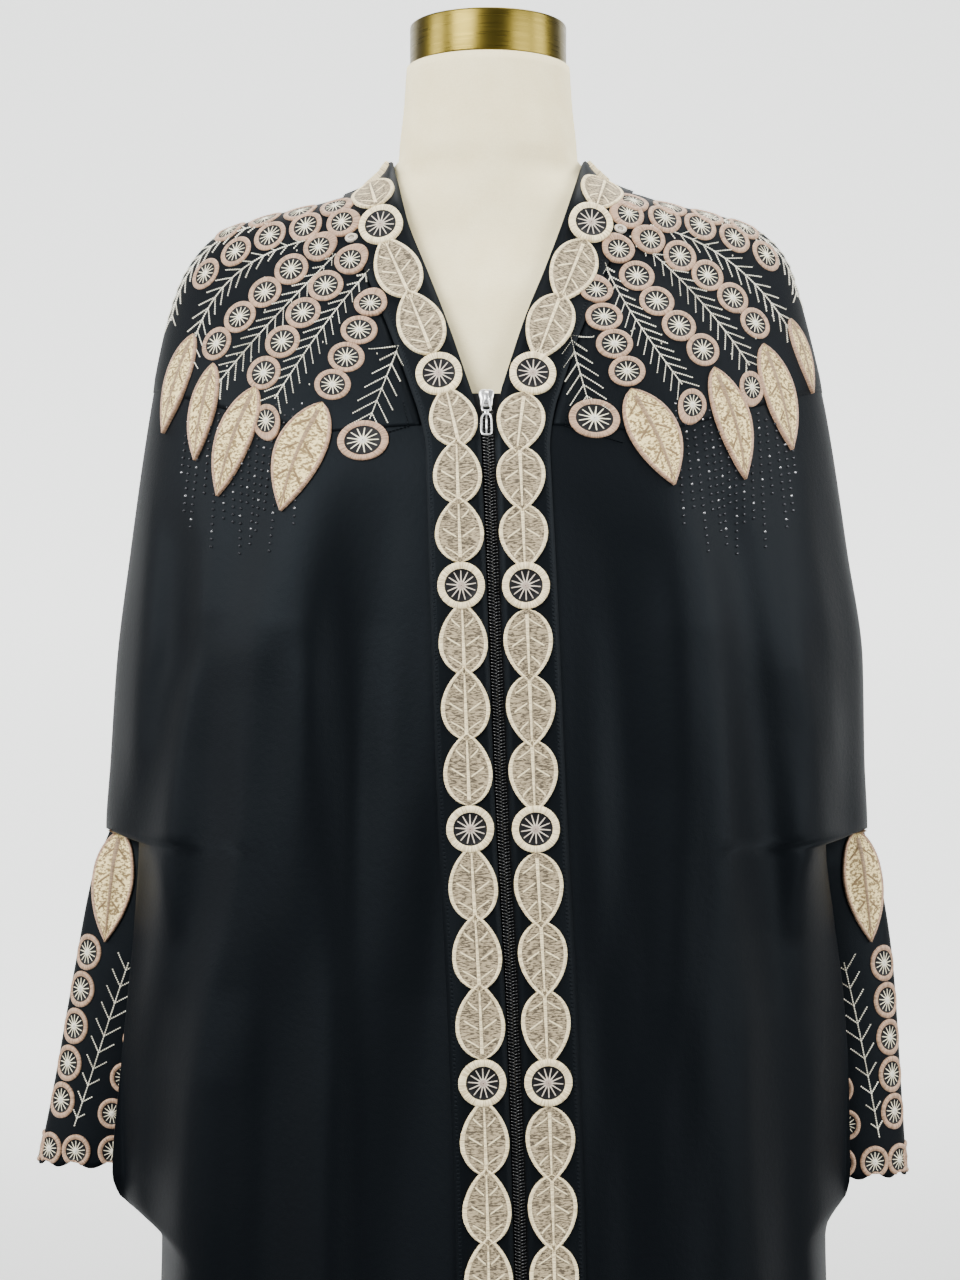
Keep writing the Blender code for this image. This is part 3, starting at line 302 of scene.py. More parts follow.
# Height, depth of the front and of the back, squareness and bluntness of the outline seen from above
DEPTH = np.array((
    (0.027, 0.200, 0.195, 2.3, 1.8), (0.300, 0.182, 0.172, 2.4, 1.7), (0.690, 0.162, 0.148, 2.5, 1.5),
    (0.950, 0.155, 0.135, 2.5, 1.4), (1.100, 0.152, 0.130, 2.5, 1.5), (1.200, 0.146, 0.128, 2.4, 1.6),
    (1.300, 0.117, 0.121, 2.2, 1.7), (1.360, 0.090, 0.108, 1.9, 1.6), (1.400, 0.076, 0.093, 1.7, 1.5),
    (1.420, 0.073, 0.083, 1.6, 1.5), (1.435, 0.072, 0.076, 1.6, 1.6), (1.450, 0.071, 0.071, 2.0, 2.0)))
# Half depth of the slot that the cuff hangs in: height, front, back
SLOT = np.array(((0.670, 0, 0), (0.684, 0.010, 0.011), (0.697, 0.025, 0.027), (0.712, 0.033, 0.036),
                 (0.800, 0.034, 0.037), (0.930, 0.033, 0.036), (0.955, 0.030, 0.033), (0.962, 0, 0)))
ZIP_LINE = ((0.027, 0.030), (0.67, 0.0215), (0.857, 0.0155), (0.97, 0.0095), (1.14, 0.003), (1.272, -0.002))
V_EDGE = {
    -1: ((1.272, 0.0128), (1.322, 0.0296), (1.358, 0.043), (1.394, 0.0565), (1.425, 0.064), (1.442, 0.068),
         (1.45, 0.07)),
    1: ((1.272, 0.009), (1.322, 0.025), (1.358, 0.039), (1.394, 0.052), (1.425, 0.062), (1.442, 0.067),
        (1.45, 0.07)),
}
# Folds by side and face: path of (height, reach), rise, width towards the middle and away from it
FOLDS = {
    (-1, "front"): (
        (((1.30, 0.232), (1.24, 0.2355), (1.086, 0.2455), (0.963, 0.249)), 0.010, 0.020, 0.014),
        (((1.26, 0.205), (1.22, 0.206), (1.158, 0.195), (1.10, 0.1945), (1.06, 0.203), (0.99, 0.216),
          (0.92, 0.2266), (0.845, 0.241), (0.80, 0.252)), 0.016, 0.030, 0.016),
        (((1.25, 0.138), (1.19, 0.142), (1.129, 0.150), (1.05, 0.158), (0.92, 0.172), (0.838, 0.192),
          (0.78, 0.203), (0.66, 0.211), (0.027, 0.240)), 0.017, 0.036, 0.018),
        (((1.22, 0.131), (1.075, 0.124), (0.92, 0.1196), (0.60, 0.118), (0.027, 0.125)), 0.006, 0.02, 0.02),
        (((1.0, 0.02), (0.915, 0.0415), (0.85, 0.05), (0.6, 0.066), (0.027, 0.075)), -0.006, 0.022, 0.03)),
    (1, "front"): (
        (((1.25, 0.125), (1.19, 0.131), (1.156, 0.142), (1.04, 0.155), (0.85, 0.168), (0.665, 0.178),
          (0.027, 0.205)), 0.015, 0.034, 0.018),
        (((1.22, 0.198), (1.17, 0.202), (1.105, 0.209), (1.04, 0.221), (0.93, 0.2355), (0.84, 0.247)),
         0.014, 0.028, 0.016),
        (((1.26, 0.218), (1.20, 0.2226), (1.086, 0.239), (0.976, 0.247)), 0.010, 0.016, 0.012),
        (((1.00, 0.113), (0.93, 0.116), (0.665, 0.123), (0.027, 0.140)), 0.007, 0.026, 0.026),
        (((0.60, 0.068), (0.30, 0.075), (0.027, 0.082)), 0.010, 0.026, 0.026),
        (((0.66, 0.235), (0.30, 0.252), (0.027, 0.275)), 0.013, 0.026, 0.024)),
    (-1, "back"): (
        (((1.24, 0.130), (1.05, 0.150), (0.80, 0.170), (0.40, 0.190), (0.027, 0.215)), 0.015, 0.034, 0.020),
        (((1.22, 0.200), (1.05, 0.212), (0.92, 0.228), (0.82, 0.245)), 0.013, 0.028, 0.016),
        (((1.10, 0.060), (0.80, 0.066), (0.40, 0.078), (0.027, 0.092)), 0.012, 0.032, 0.026)),
    (1, "back"): (
        (((1.24, 0.118), (1.05, 0.140), (0.80, 0.160), (0.40, 0.185), (0.027, 0.222)), 0.016, 0.034, 0.020),
        (((1.22, 0.205), (1.05, 0.218), (0.92, 0.230), (0.82, 0.243)), 0.012, 0.026, 0.016),
        (((1.12, 0.030), (0.80, 0.038), (0.40, 0.050), (0.027, 0.062)), 0.010, 0.030, 0.026)),
}
SIDES = ((-1, "right"), (1, "left"))
# Rows below the V point: height at the front edge, height at the sleeve
BODY_ROWS = ((1.256, 1.185), (1.236, 1.168), (1.190, 1.130), (1.130, 1.090), (1.060, 1.035), (0.990, 0.982),
             (0.962, 0.962), (0.955, 0.955), (0.027, 0.027))
V_ROWS, OUTER_DROP, BAND_WIDTH, ZIP_HALF_GAP, FLAT_FRONT = 9, 0.198, 0.0385, 0.0046, 0.045
STEP_DOWN = 0.006
CLOTH, SEAM = 0.0020, 0.00004


def faded(low, high, value):
    """0 below low, 1 above high, straight between."""
    return np.clip((value - low) / (high - low), 0.0, 1.0)


def full_reach(side, z):
    inside = (z > 0.5) & (z < 1.0)
    return np.where(inside, np.maximum(reach(side, z), along(FULL[side], z)), reach(side, z))


def edge_reach(side, z):
    """Distance of the front edge from the centre plane, along the V neck and the zip."""
    centre = side * along(ZIP_LINE, z) + ZIP_HALF_GAP
    top = along(V_EDGE[side], V_POINT) - side * along(ZIP_LINE, V_POINT) - ZIP_HALF_GAP
    opening = np.maximum(0.0, 1 - (V_POINT - z) / 0.034)
    return np.where(z >= V_POINT, along(V_EDGE[side], z), centre + top * np.minimum(opening, 1.0) ** 1.6)


shoulder_z = np.linspace(SHOULDER_POINT, SLEEVE_HEAD, 200)


def shoulder_height(side, x):
    return np.interp(x, reach(side, shoulder_z), shoulder_z)


def fold_rise(side, back, x, z):
    total = np.zeros(np.broadcast(x, z).shape)
    for path, rise, inner, outer in FOLDS[side, "back" if back else "front"]:
        top, bottom = max(path)[0], min(path)[0]
        fade = np.clip((top - z) / 0.14, 0, 1) * (np.clip((z - bottom) / 0.06, 0, 1) if bottom > 0.1 else 1)
        offset = x - along(path, z)
        t = np.abs(offset) / np.where(offset > 0, outer, inner)
        total += rise * fade * (2.718 ** (-t * t) - 0.35 * 2.718 ** (-((t - 1.9) / 0.8) ** 2))
    return total


def ripples(side, back, x, z):
    """Small soft waves of the hanging cloth, between the folds."""
    turn = 1.7 * side + 3.1 * back
    drift = 0.02 * np.sin(5.1 * z + turn) + 0.011 * np.sin(11.3 * z + 2 * turn)
    waves = 0.9 * np.sin(2 * np.pi * (x + drift) / 0.047 + turn) + 0.5 * np.sin(
        2 * np.pi * (x - 0.6 * drift) / 0.029 + 2.3 * turn + 3 * z)
    return 0.0007 * waves * faded(1.22, 1.02, z)


def cloth_y(side, back, x, z):
    """Depth of the cloth's outer face at a distance x from the centre plane and a height z."""
    edge, full = reach(side, z), full_reach(side, z)
    square, blunt = along(DEPTH[:, (0, 3)], z), along(DEPTH[:, (0, 4)], z)
    inside = 1 - np.clip(x / full, 0, 1) ** square
    depth = along(DEPTH[:, (0, 2 if back else 1)], z) * inside ** (1 / blunt)
    slot = along(SLOT[:, (0, 2 if back else 1)], z)
    radius = along(ROUNDING_FADE, z) * (EDGE_ROUNDING * (full - edge) + SLOT_ROUNDING * slot)
    radius = np.maximum(radius, 1e-6)
    closing = np.sqrt(1 - (1 - np.clip((edge - x) / radius, 0, 1)) ** 2)
    depth = slot + np.maximum(0.0, depth - slot) * closing
    flat = 1.0 if back else np.clip((x - edge_reach(side, z)) / FLAT_FRONT, 0, 1)
    loose = inside ** 0.3 * closing * flat
    depth = depth + (fold_rise(side, back, x, z) + ripples(side, back, x, z)) * loose
    return depth if back else -depth


def row_values():
    """Rows down to the hem: height at the front edge and at the sleeve, share of the shoulder's shape."""
    t = (np.linspace(0, 1, 46) ** 0.8) ** 2
    rows = [(SHOULDER_POINT - (SHOULDER_POINT - V_POINT) * s, SLEEVE_HEAD - OUTER_DROP * s, 1 - s) for s in t]
    stations = [(rows[-1][0], rows[-1][1])] + list(BODY_ROWS)
    for (a, b), (c, d) in zip(stations, stations[1:]):
        steps = max(2, math.ceil((a - c) / STEP_DOWN))
        rows += [(a + (c - a) * k / steps, b + (d - b) * k / steps, 0.0) for k in range(1, steps + 1)]
    return np.array(rows)


ROWS = row_values()


def panel_height(side, rows, share, shoulder_x):
    """Height on a panel at a share of the way to the sleeve; near the top it takes the shoulder's shape."""
    edge_z, outer_z, shape = rows[:, :1], rows[:, 1:2], rows[:, 2:]
    straight = SHOULDER_POINT + (SLEEVE_HEAD - SHOULDER_POINT) * share
    return edge_z + (outer_z - edge_z) * share + (shoulder_height(side, shoulder_x) - straight) * shape


def front_points(side, rows, across):
    """Points of a front: across is in metres up to the band's width, or 1 + the share of the rest."""
    edge_z, outer_z = rows[:, :1], rows[:, 1:2]
    start, end = edge_reach(side, edge_z), reach(side, outer_z)
    length = np.hypot(end - start, outer_z - edge_z)
    band = BAND_WIDTH / length
    share = np.where(across < 1, across / length, band + (1 - band) * (across - 1))
    x = start + (end - start) * share
    z = panel_height(side, rows, share, NECK_REACH + (reach(side, SLEEVE_HEAD) - NECK_REACH) * share)
    y = np.minimum(cloth_y(side, False, x, z), -SEAM / 2)
    y = np.where(rows[:, 2:] == 1, -SEAM / 2, y)
    return np.stack((side * x, y, z), -1)


def back_points(side, rows, steps):
    """Points of one half of the back: steps from 0 at the centre to 5 at the neck and 12 at the side."""
    end = reach(side, rows[:, 1:2])
    low_x = end * np.sin(np.pi / 2 * steps / 12)
    top_x = np.where(steps <= 5, NECK_REACH * np.sin(np.pi / 2 * np.minimum(steps, 5) / 5),
                     NECK_REACH + (end - NECK_REACH) * np.sin(np.pi / 2 * np.maximum(steps - 5, 0) / 7))
    x = top_x + (low_x - top_x) * np.clip((V_POINT - rows[:, :1]) / 0.2, 0, 1)
    z = panel_height(side, rows, x / end, np.minimum(x, reach(side, SLEEVE_HEAD)))
    y = np.maximum(cloth_y(side, True, x, z), SEAM / 2)
    y = np.where((rows[:, 2:] == 1) & (steps >= 5), SEAM / 2, y)
    return np.stack((side * x, y, z), -1)


def grid_normals(grid, flip):
    down = np.gradient(grid, axis=0)
    over = np.gradient(grid, axis=1)
    normal = np.cross(over, down) * flip
    seam = np.abs(grid[..., 1]) <= SEAM
    normal[seam, 1] = 0
    length = np.linalg.norm(normal, axis=-1, keepdims=True)
    return normal / np.maximum(length, 1e-9)


def turned_in(grid, normals, sides):
    """Adds the cloth's thickness and a turned-in edge at the hem and at the given sides."""
    inner = grid - normals * CLOTH
    for column, way in sides:
        fold = inner[:, column] + (way * 0.010, 0, 0)
        extra, at = np.stack((inner[:, column], fold), 1), 0
        if column == -1:
            at = grid.shape[1]
        else:
            extra = extra[:, ::-1]
        grid = np.insert(grid, [at, at], extra, axis=1)
        inner = np.insert(inner, [at, at], extra, axis=1)
    return np.concatenate((grid, inner[-1:], inner[-1:] + (0, 0, 0.020)))


class Carrier:
    """Cloth that embroidery is laid on: gives the nearest point of its grids, and its normal."""

    def __init__(self, *layers, overlapping=False):
        self.overlapping = overlapping
        starts = np.cumsum([0] + [grid[..., 0].size for grid, _ in layers])
        self.points = np.concatenate([grid.reshape(-1, 3) for grid, _ in layers])
        self.normals = np.concatenate([normals.reshape(-1, 3) for _, normals in layers])
        self.faces = np.concatenate([grid_faces(*grid.shape[:2], start=start)
                                     for (grid, _), start in zip(layers, starts)])
        self.tree = BVHTree.FromPolygons(self.points.tolist(), self.faces.tolist())

    def smooth_normal(self, place, face):
        corners = self.faces[face]
        near = 1 / (np.linalg.norm(self.points[corners] - place, axis=1) + 1e-5)
        normal = (self.normals[corners] * near[:, None]).sum(0)
        return normal / np.linalg.norm(normal)

    def lay(self, points, heights, out):
        """Each point dropped on the cloth and raised by its height; from outside, where layers overlap."""
        laid = []
        for point, height in zip(points, heights):
            face = None
            if self.overlapping:
                place, _, face, _ = self.tree.ray_cast(Vector(point + out * 0.03), Vector(-out), 0.06)
            if face is None:
                place, _, face, _ = self.tree.find_nearest(Vector(point))
            laid.append(np.array(place) + self.smooth_normal(np.array(place), face) * height)
        return np.array(laid)

    def stand(self, point):
        """The nearest place on the cloth and its normal."""
        place, _, face, _ = self.tree.find_nearest(Vector(point))
        return np.array(place), self.smooth_normal(np.array(place), face)

    def seen(self, x, z, turn=1):
        """The place that is seen at x, z from the front (turn 1) or from the back (turn -1)."""
        place, _, _, _ = self.tree.ray_cast(Vector((x, -turn, z)), Vector((0, turn, 0)))
        return self.stand(place if place else (x, -0.02 * turn, z))[0]


CREPE_LOOK = {"Sheen_Weight": 0.015, "Sheen_Roughness": 0.4, "Sheen_Tint": (0.62, 0.70, 0.86, 1.0),
              "Specular_IOR_Level": 0.10, "Specular_Tint": (0.74, 0.88, 1.0, 1.0)}


def black_crepe(name, roughness, grain, detail, swing):
    """Satin-backed crepe, and the fine pebble that its relief is made from."""
    made = Finish(name, (0.0008, 0.0012, 0.0018), roughness, **CREPE_LOOK)
    pebble = made.noise(made.place(), grain, detail)
    made.set("Roughness", pebble * swing + (roughness - 0.07))
    return made, pebble


crepe, pebble = black_crepe("black_satin_crepe", 0.54, 1500.0, 2.0, 0.14)
cloud = crepe.noise(crepe.stretched(crepe.place(), (9, 9, 3)), 1.0, 3.0)
crepe.set("Base Color", cloud.above(0.5, 0.3).paint((0.0006, 0.0009, 0.0014), (0.0011, 0.0015, 0.0022)))
crepe.relief(pebble * 0.6 + crepe.noise(crepe.place(), 240.0, 3.0) * 0.8, 0.0005, 0.35)

across_front = np.concatenate((np.linspace(0, BAND_WIDTH, 7), 1 + np.sin(np.pi / 2 * np.arange(1, 67) / 66)))
layers, cloth = [], {}
for side, word in SIDES:
    grid = front_points(side, ROWS, across_front[None])
    normals = grid_normals(grid, -side)
    layers.append((grid, normals))
    whole = turned_in(grid, normals, ((-1, -side),))
    cloth[side] = add_mesh(f"front_cloth_{word}", whole, None, crepe, replaces=("front_" + word,))
half_steps = np.linspace(0, 12, 61)
halves = [back_points(side, ROWS, half_steps[None]) for side in (-1, 1)]
grid = np.concatenate((halves[0][:, :0:-1], halves[1]), axis=1)
normals = grid_normals(grid, 1)
layers.append((grid, normals))
garment = Carrier(*layers)
whole = turned_in(grid, normals, ((0, 1), (-1, -1)))
cloth[0] = add_mesh("back_cloth", whole, None, crepe, replaces=("back",))

# Front bands and neck band, straight strips of the same crepe pressed double and stitched down.
# They run from the hem up each front edge, beside the V neck and round the back of the neck.
BAND_LIFT, BAND_WALL = 0.0005, 0.0012


def raised(grid, normals, lift, wall, edge):
    """Points of a strip that stands off its cloth; edge gives the share of the wall at its outermost rows."""
    sides = ((2, 2), (2, 2), (0, 0))
    points, outward = np.pad(grid, sides, mode="edge"), np.pad(normals, sides, mode="edge")
    height = np.full(points.shape[:2], lift + wall)
    for rim in range(len(edge) - 1, -1, -1):
        height[[rim, -1 - rim], rim:height.shape[1] - rim] = lift + edge[rim] * wall
        height[rim:height.shape[0] - rim, [rim, -1 - rim]] = lift + edge[rim] * wall
    return points + outward * height[..., None]


def lengths(line):
    """Length along a line, at each of its points."""
    return np.cumsum(np.linalg.norm(np.diff(line, axis=0, prepend=line[:1]), axis=-1))


def placed(line, at):
    """Places on a line at the given lengths along it."""
    return np.stack([np.interp(at, lengths(line), line[:, axis]) for axis in range(3)], -1)


def strip(name, grid, normals, lift, wall, finish, replaces, edge=(0.0, 0.7)):
    """A strip of cloth that stands off the garment, with the lengths over its cut for its patterns."""
    points = raised(grid, normals, lift, wall, edge)
    along_cut = lengths(points[:, 3])
    over_cut = np.cumsum(np.linalg.norm(np.diff(points, axis=1, prepend=points[:, :1]), axis=-1), axis=1)
    uv = np.stack((over_cut, np.broadcast_to(along_cut[:, None], over_cut.shape)), -1)
    return add_mesh(name, points, None, finish, uv, replaces)


STITCH_LINE, STITCH_PITCH = 0.0368, 0.0028
pressed, pebble = black_crepe("pressed_crepe_band", 0.52, 1500.0, 2.0, 0.14)
over_band, along_band = pressed.uv()
stitch_line = 1 - ((over_band - STITCH_LINE).size() * 1000).above(0.6, 0.5)
stitches = stitch_line * (along_band * (2 * math.pi / STITCH_PITCH)).sin().above(-0.3, 0.4)
pressed.relief(pebble * 0.25 - stitch_line * 0.8 + stitches, 0.0006, 0.6)
band_across = np.linspace(0, BAND_WIDTH - SEAM, 9)
for side, word in SIDES:
    grid = front_points(side, ROWS, band_across[None])
    strip(f"front_band_{word}", grid, grid_normals(grid, -side), BAND_LIFT, BAND_WALL, pressed,
                        ("band_" + word,))


def shoulder_step(width):
    """Step across the back at a distance from the neck along the shoulder line."""
    run = reach(1, SLEEVE_HEAD) - NECK_REACH
    return 5 + 7 * 2 / np.pi * np.arcsin(width * 0.93 / run)


def row_at(deep):
    """Row of a panel between the shoulder seam (0) and the first row below the V neck (10)."""
    share = (np.minimum(deep, V_ROWS) / V_ROWS) ** 2
    below = np.maximum(deep - V_ROWS, 0)
    edge = SHOULDER_POINT - (SHOULDER_POINT - V_POINT) * share - (V_POINT - BODY_ROWS[0][0]) * below
    outer = SLEEVE_HEAD - OUTER_DROP * share - (SLEEVE_HEAD - OUTER_DROP - BODY_ROWS[0][1]) * below
    return np.stack((edge, outer, 1 - share), -1)


def front_places(side, deep, across):
    deep, across = np.broadcast_arrays(deep, across)
    points = front_points(side, row_at(deep.reshape(-1)), across.reshape(-1, 1))
    return points.reshape(*deep.shape, 3)


def back_places(deep, steps):
    """Places on the back, with steps counted from its centre and below 0 on the wearer's right."""
    deep, steps = np.broadcast_arrays(deep, steps)
    rows, over = row_at(deep.reshape(-1)), np.abs(steps.reshape(-1, 1))
    right, left = (back_points(side, rows, over).reshape(*deep.shape, 3) for side in (-1, 1))
    return np.where(steps[..., None] < 0, right, left)


def neck_places(angles, widths):
    """Places beside the back of the neck: angle from the shoulder at +X, width away from the neck."""
    deep = V_ROWS * np.sqrt(widths * 0.93 / (SHOULDER_POINT - V_POINT))
    return back_places(deep * np.sin(angles), shoulder_step(widths) * np.cos(angles))


NECK_LIFT = 0.0019
angles, widths = np.meshgrid(np.linspace(0.0, math.pi, 81), np.linspace(0.0002, BAND_WIDTH - SEAM, 9),
                             indexing="ij")
grid = neck_places(angles, widths)
normals = np.array([garment.stand(point)[1] for point in grid.reshape(-1, 3)]).reshape(grid.shape)
strip("neck_band_cloth", grid, normals, NECK_LIFT, BAND_WALL, pressed, ("neck_band",))

# Front zip: a woven tape behind the bands and a coil of fine teeth between them.
# A metal slider sits at the top, with a pull tab that hangs from the strap on its face.
ZIP_TOP, ZIP_BOTTOM, TAPE_HALF, TAPE_BEHIND, TOOTH_PITCH = 1.2565, 0.060, 0.0095, 0.0028, 0.0022


def zip_points(z, offset, proud):
    x = along(ZIP_LINE, z) + offset
    y = np.where(x > 0, cloth_y(1, False, np.abs(x), z), cloth_y(-1, False, np.abs(x), z))
    return np.stack((x, y - proud, z), -1)


tape_weave = Finish("black_woven_tape", (0.003, 0.003, 0.0033), 0.7, Specular_IOR_Level=0.2)
threads = tape_weave.stretched(tape_weave.place(), (300, 300, 1800))
tape_weave.relief(tape_weave.noise(threads, 1.0), 0.0004, 0.5)
tape_z = np.concatenate(([V_POINT - 0.004], np.linspace(ZIP_TOP, ZIP_BOTTOM, 200)))
tape_x = np.linspace(-TAPE_HALF, TAPE_HALF, 7)
grid = zip_points(*np.broadcast_arrays(tape_z[:, None], tape_x[None], -TAPE_BEHIND))
tape = add_mesh("woven_tape", grid, None, tape_weave, replaces=("zip_tape",))

# Each tooth's wire, from its root on the tape: height, distance from the zip's middle, stand-off
TOOTH_PATH = ((0.0003, 0.0039, 0.0002), (0.0, 0.00234, 0.0012), (-0.0007, -0.0002, 0.0008),
              (-0.0009, -0.0006, -0.0010))
TOOTH_SECTION = 0.00062 * np.array(((0, 0, 1.0), (0, -0.8, 0), (0, 0, -1.0), (0, 0.8, 0)))
teeth_black = Finish("black_coil", (0.0035, 0.004, 0.005), 0.24, Specular_IOR_Level=0.7)
tooth_z = np.arange(ZIP_BOTTOM + TOOTH_PITCH, ZIP_TOP, TOOTH_PITCH)
paths = [np.stack([zip_points(tooth_z + hand * TOOTH_PITCH / 4 + up, hand * out, proud)
                   for up, out, proud in TOOTH_PATH], 1) for hand in (-1, 1)]
points = np.concatenate(paths)[:, :, None] + TOOTH_SECTION
faces = np.concatenate([grid_faces(4, 4, ring=True, start=16 * tooth) for tooth in range(len(points))])
add_mesh("coil_teeth", points, faces, teeth_black, replaces=("zip_coil",))

silver = Finish("bright_silver_metal", (0.93, 0.93, 0.92), 0.28, 1.0)
silver.set("Roughness", silver.noise(silver.place(), 900.0, 3.0) * 0.16 + 0.22)
# The slider's face, height and seat over the zip's top, then its half width at heights from its middle
SLIDER_FRONT, SLIDER_TALL, SLIDER_SEAT = 0.0030, 0.0120, 0.0008
SLIDER_SHAPE = ((-0.0062, 0.0030), (-0.0056, 0.0040), (-0.003, 0.0043), (0.0, 0.0045), (0.0025, 0.0052),
                (0.0048, 0.0053), (0.0060, 0.0046), (0.0064, 0.0032))
STRAP_WIDE, STRAP_THICK, STRAP_RISE, STRAP_REACH = 0.0032, 0.0009, 0.0032, 0.0046
# The pull tab's eye and its long window: low and high end, half width at each
PULL_EYE, PULL_WINDOW = (-0.0092, 0.0, 0.0031, 0.0024), (-0.0272, -0.0118, 0.0037, 0.0033)
PULL_REST, PULL_BAR, PULL_THICK = math.radians(22), 0.0013, 0.0012


def cast_bar(path, face, thickness, width, closed=False):
    """Rounded metal bar along a path, with its width measured along face and its thickness square to it."""
    around = 12
    path, face = np.array(path, float), np.array(face, float)
    size = np.ones(len(path))
    if closed:
        ahead = np.roll(path, -1, axis=0) - np.roll(path, 1, axis=0)
    else:
        path, size = np.concatenate((path[:1], path, path[-1:])), np.pad(size, 1, constant_values=0.05)
        ahead = np.gradient(path, axis=0)
    across = np.cross(ahead, face)
    across /= np.linalg.norm(across, axis=1, keepdims=True)
    off, over = circle(around, 0.7).T[:, None] * size[:, None] / 2
    points = path[:, None] + (off * thickness)[..., None] * across[:, None] + (over * width)[..., None] * face
    faces = grid_faces(len(path) + closed, around, ring=True) % (len(path) * around)
    return points.reshape(-1, 3), faces


def joined(parts):
    """Bars gathered into one mesh."""
    starts = np.cumsum([0] + [len(points) for points, _ in parts])
    return np.concatenate([points for points, _ in parts]), np.concatenate(
        [faces + start for (_, faces), start in zip(parts, starts)])


def tipped(points, angle, place):
    """Points turned about the X axis by an angle, then moved to a place."""
    (x, y, z), level, steep = points.T, math.cos(angle), math.sin(angle)
    return np.stack((x, y * level - z * steep, y * steep + z * level), -1) + place


def frame_loop(low, high, half_low, half_high):
    """Closed path round an opening of the pull tab, wider at one end."""
    across, up = circle(40, 0.5).T
    half = half_low + (half_high - half_low) * (up + 1) / 2
    return np.stack((across * half, 0 * up, (low + high) / 2 + up * (high - low) / 2), -1)


slider_ends = zip_points(np.array((SLIDER_SEAT, SLIDER_SEAT + SLIDER_TALL)) + ZIP_TOP, 0.0, 0.0)
slider_tilt = math.atan2(slider_ends[1, 1] - slider_ends[0, 1], SLIDER_TALL)
up = np.concatenate([np.linspace(*span) for span in ((-0.0062, -0.0052, 5), (-0.0045, 0.0045, 12),
                                                     (0.0052, 0.0064, 5))])[:, None]
half = along(SLIDER_SHAPE, up[:, 0])[:, None]
half[[0, -1]] *= 0.05
over, out = circle(40, 0.45).T
shell_y = np.minimum(SLIDER_FRONT * 0.85, half) * out - SLIDER_FRONT * 0.15
shell = np.stack(np.broadcast_arrays(half * over, shell_y, up), -1)
arch = np.linspace(0, math.pi, 25)
strap_y = -SLIDER_FRONT - STRAP_RISE * np.sin(arch) ** 0.7 + 0.0003
strap = np.stack((0 * arch, strap_y, STRAP_REACH * np.cos(arch)), -1)
points, faces = joined([(shell.reshape(-1, 3), grid_faces(*shell.shape[:2], ring=True)),
                        cast_bar(strap, (1, 0, 0), STRAP_THICK, STRAP_WIDE)])
add_mesh("cast_slider", tipped(points, -slider_tilt, slider_ends.mean(0)), faces, silver,
         replaces=("zip_slider",))

pull_axis = np.array(frame["record"]["behaviour"]["joints"][0]["pos_m"])
bars = [cast_bar(frame_loop(*loop), (0, 1, 0), PULL_BAR, PULL_THICK, closed=True)
        for loop in (PULL_EYE, PULL_WINDOW)]
for heights, wide in (((-0.0088, -0.0104, -0.0121), 0.0030), ((-0.0118, -0.0195, -0.0270), 0.0011)):
    bars.append(cast_bar([(0, 0, z) for z in heights], (0, 1, 0), wide, 0.0011))
points, faces = joined(bars)
add_mesh("cast_pull_tab", tipped(points, -PULL_REST, pull_axis), faces, silver, replaces=("zip_pull",),
         body="pull_tab")

# Leaf-and-disc braid, machine-stitched in thick cream satin and sewn down the middle of each band.
# Three leaves lie between each two spoked discs, tips up on the wearer's right and down on the left.
BRAID_CENTRE, BRAID_LIFT = 0.0171, 0.0030
DISC_HEIGHTS = (1.404, 1.286, 1.139, 0.974, 0.805, 0.637, 0.469, 0.301, 0.133)
DISC_RADIUS, BRAID_TOP, BRAID_BOTTOM = 0.0158, 1.443, 0.036
BRAID_LEAF_HALF, BRAID_LEAF_LONG, NECK_LEAF_HALF, NECK_LEAF_LONG = 0.0163, 0.0445, 0.0140, 0.0300


class Motifs:
    """Stitched motifs gathered into one mesh, each laid on a cloth and coloured by zones."""

    def __init__(self, carrier, lift, ground=0.0003):
        self.carrier, self.lift, self.ground = carrier, lift, ground
        self.points, self.faces, self.uv, self.zones, self.count = [], [], [], [], 0

    def add(self, motif, centre, run, scale=(1.0, 1.0), extra=0.0, zones=None):
        """Lays a flat motif with its length along run; the motif's rim goes down to the ground."""
        flat, heights, uv, faces, own_zones = motif
        out = self.carrier.stand(centre)[1]
        run = run - out * (run @ out)
        run = run / np.linalg.norm(run)
        spots = centre + flat[:, :1] * scale[0] * run + flat[:, 1:2] * scale[1] * np.cross(out, run)
        height = np.where(heights > 0, self.lift + heights + extra, self.ground)
        self.points.append(self.carrier.lay(spots, height, out))
        self.faces.append(faces + self.count)
        self.uv.append(uv)
        self.zones.append(own_zones if zones is None else np.array(zones)[own_zones])
        self.count += len(flat)

    def dashes(self, path, pitch, width, wall, zone, share=0.72):
        """Running stitches of one thread along a path of points."""
        path = np.array(path)
        whole = lengths(path)[-1]
        count = max(1, round(whole / pitch))
        for k in range(count):
            start, end = placed(path, whole * np.array((k, k + share)) / count)
            stitch = stitch_motif(np.linalg.norm(end - start), width, wall, zone)
            self.add(stitch, (start + end) / 2, end - start)

    def finish(self, name, finishes, replaces=(), slot=None):
        """Makes the gathered motifs one piece, with a finish for each zone."""
        made = add_mesh(name, np.concatenate(self.points), np.concatenate(self.faces), finishes[0],
                        np.concatenate(self.uv), replaces)
        for other in finishes[1:]:
            made.data.materials.append(other.material)
        made.data.polygons.foreach_set("material_index", np.concatenate(self.zones))
        return made


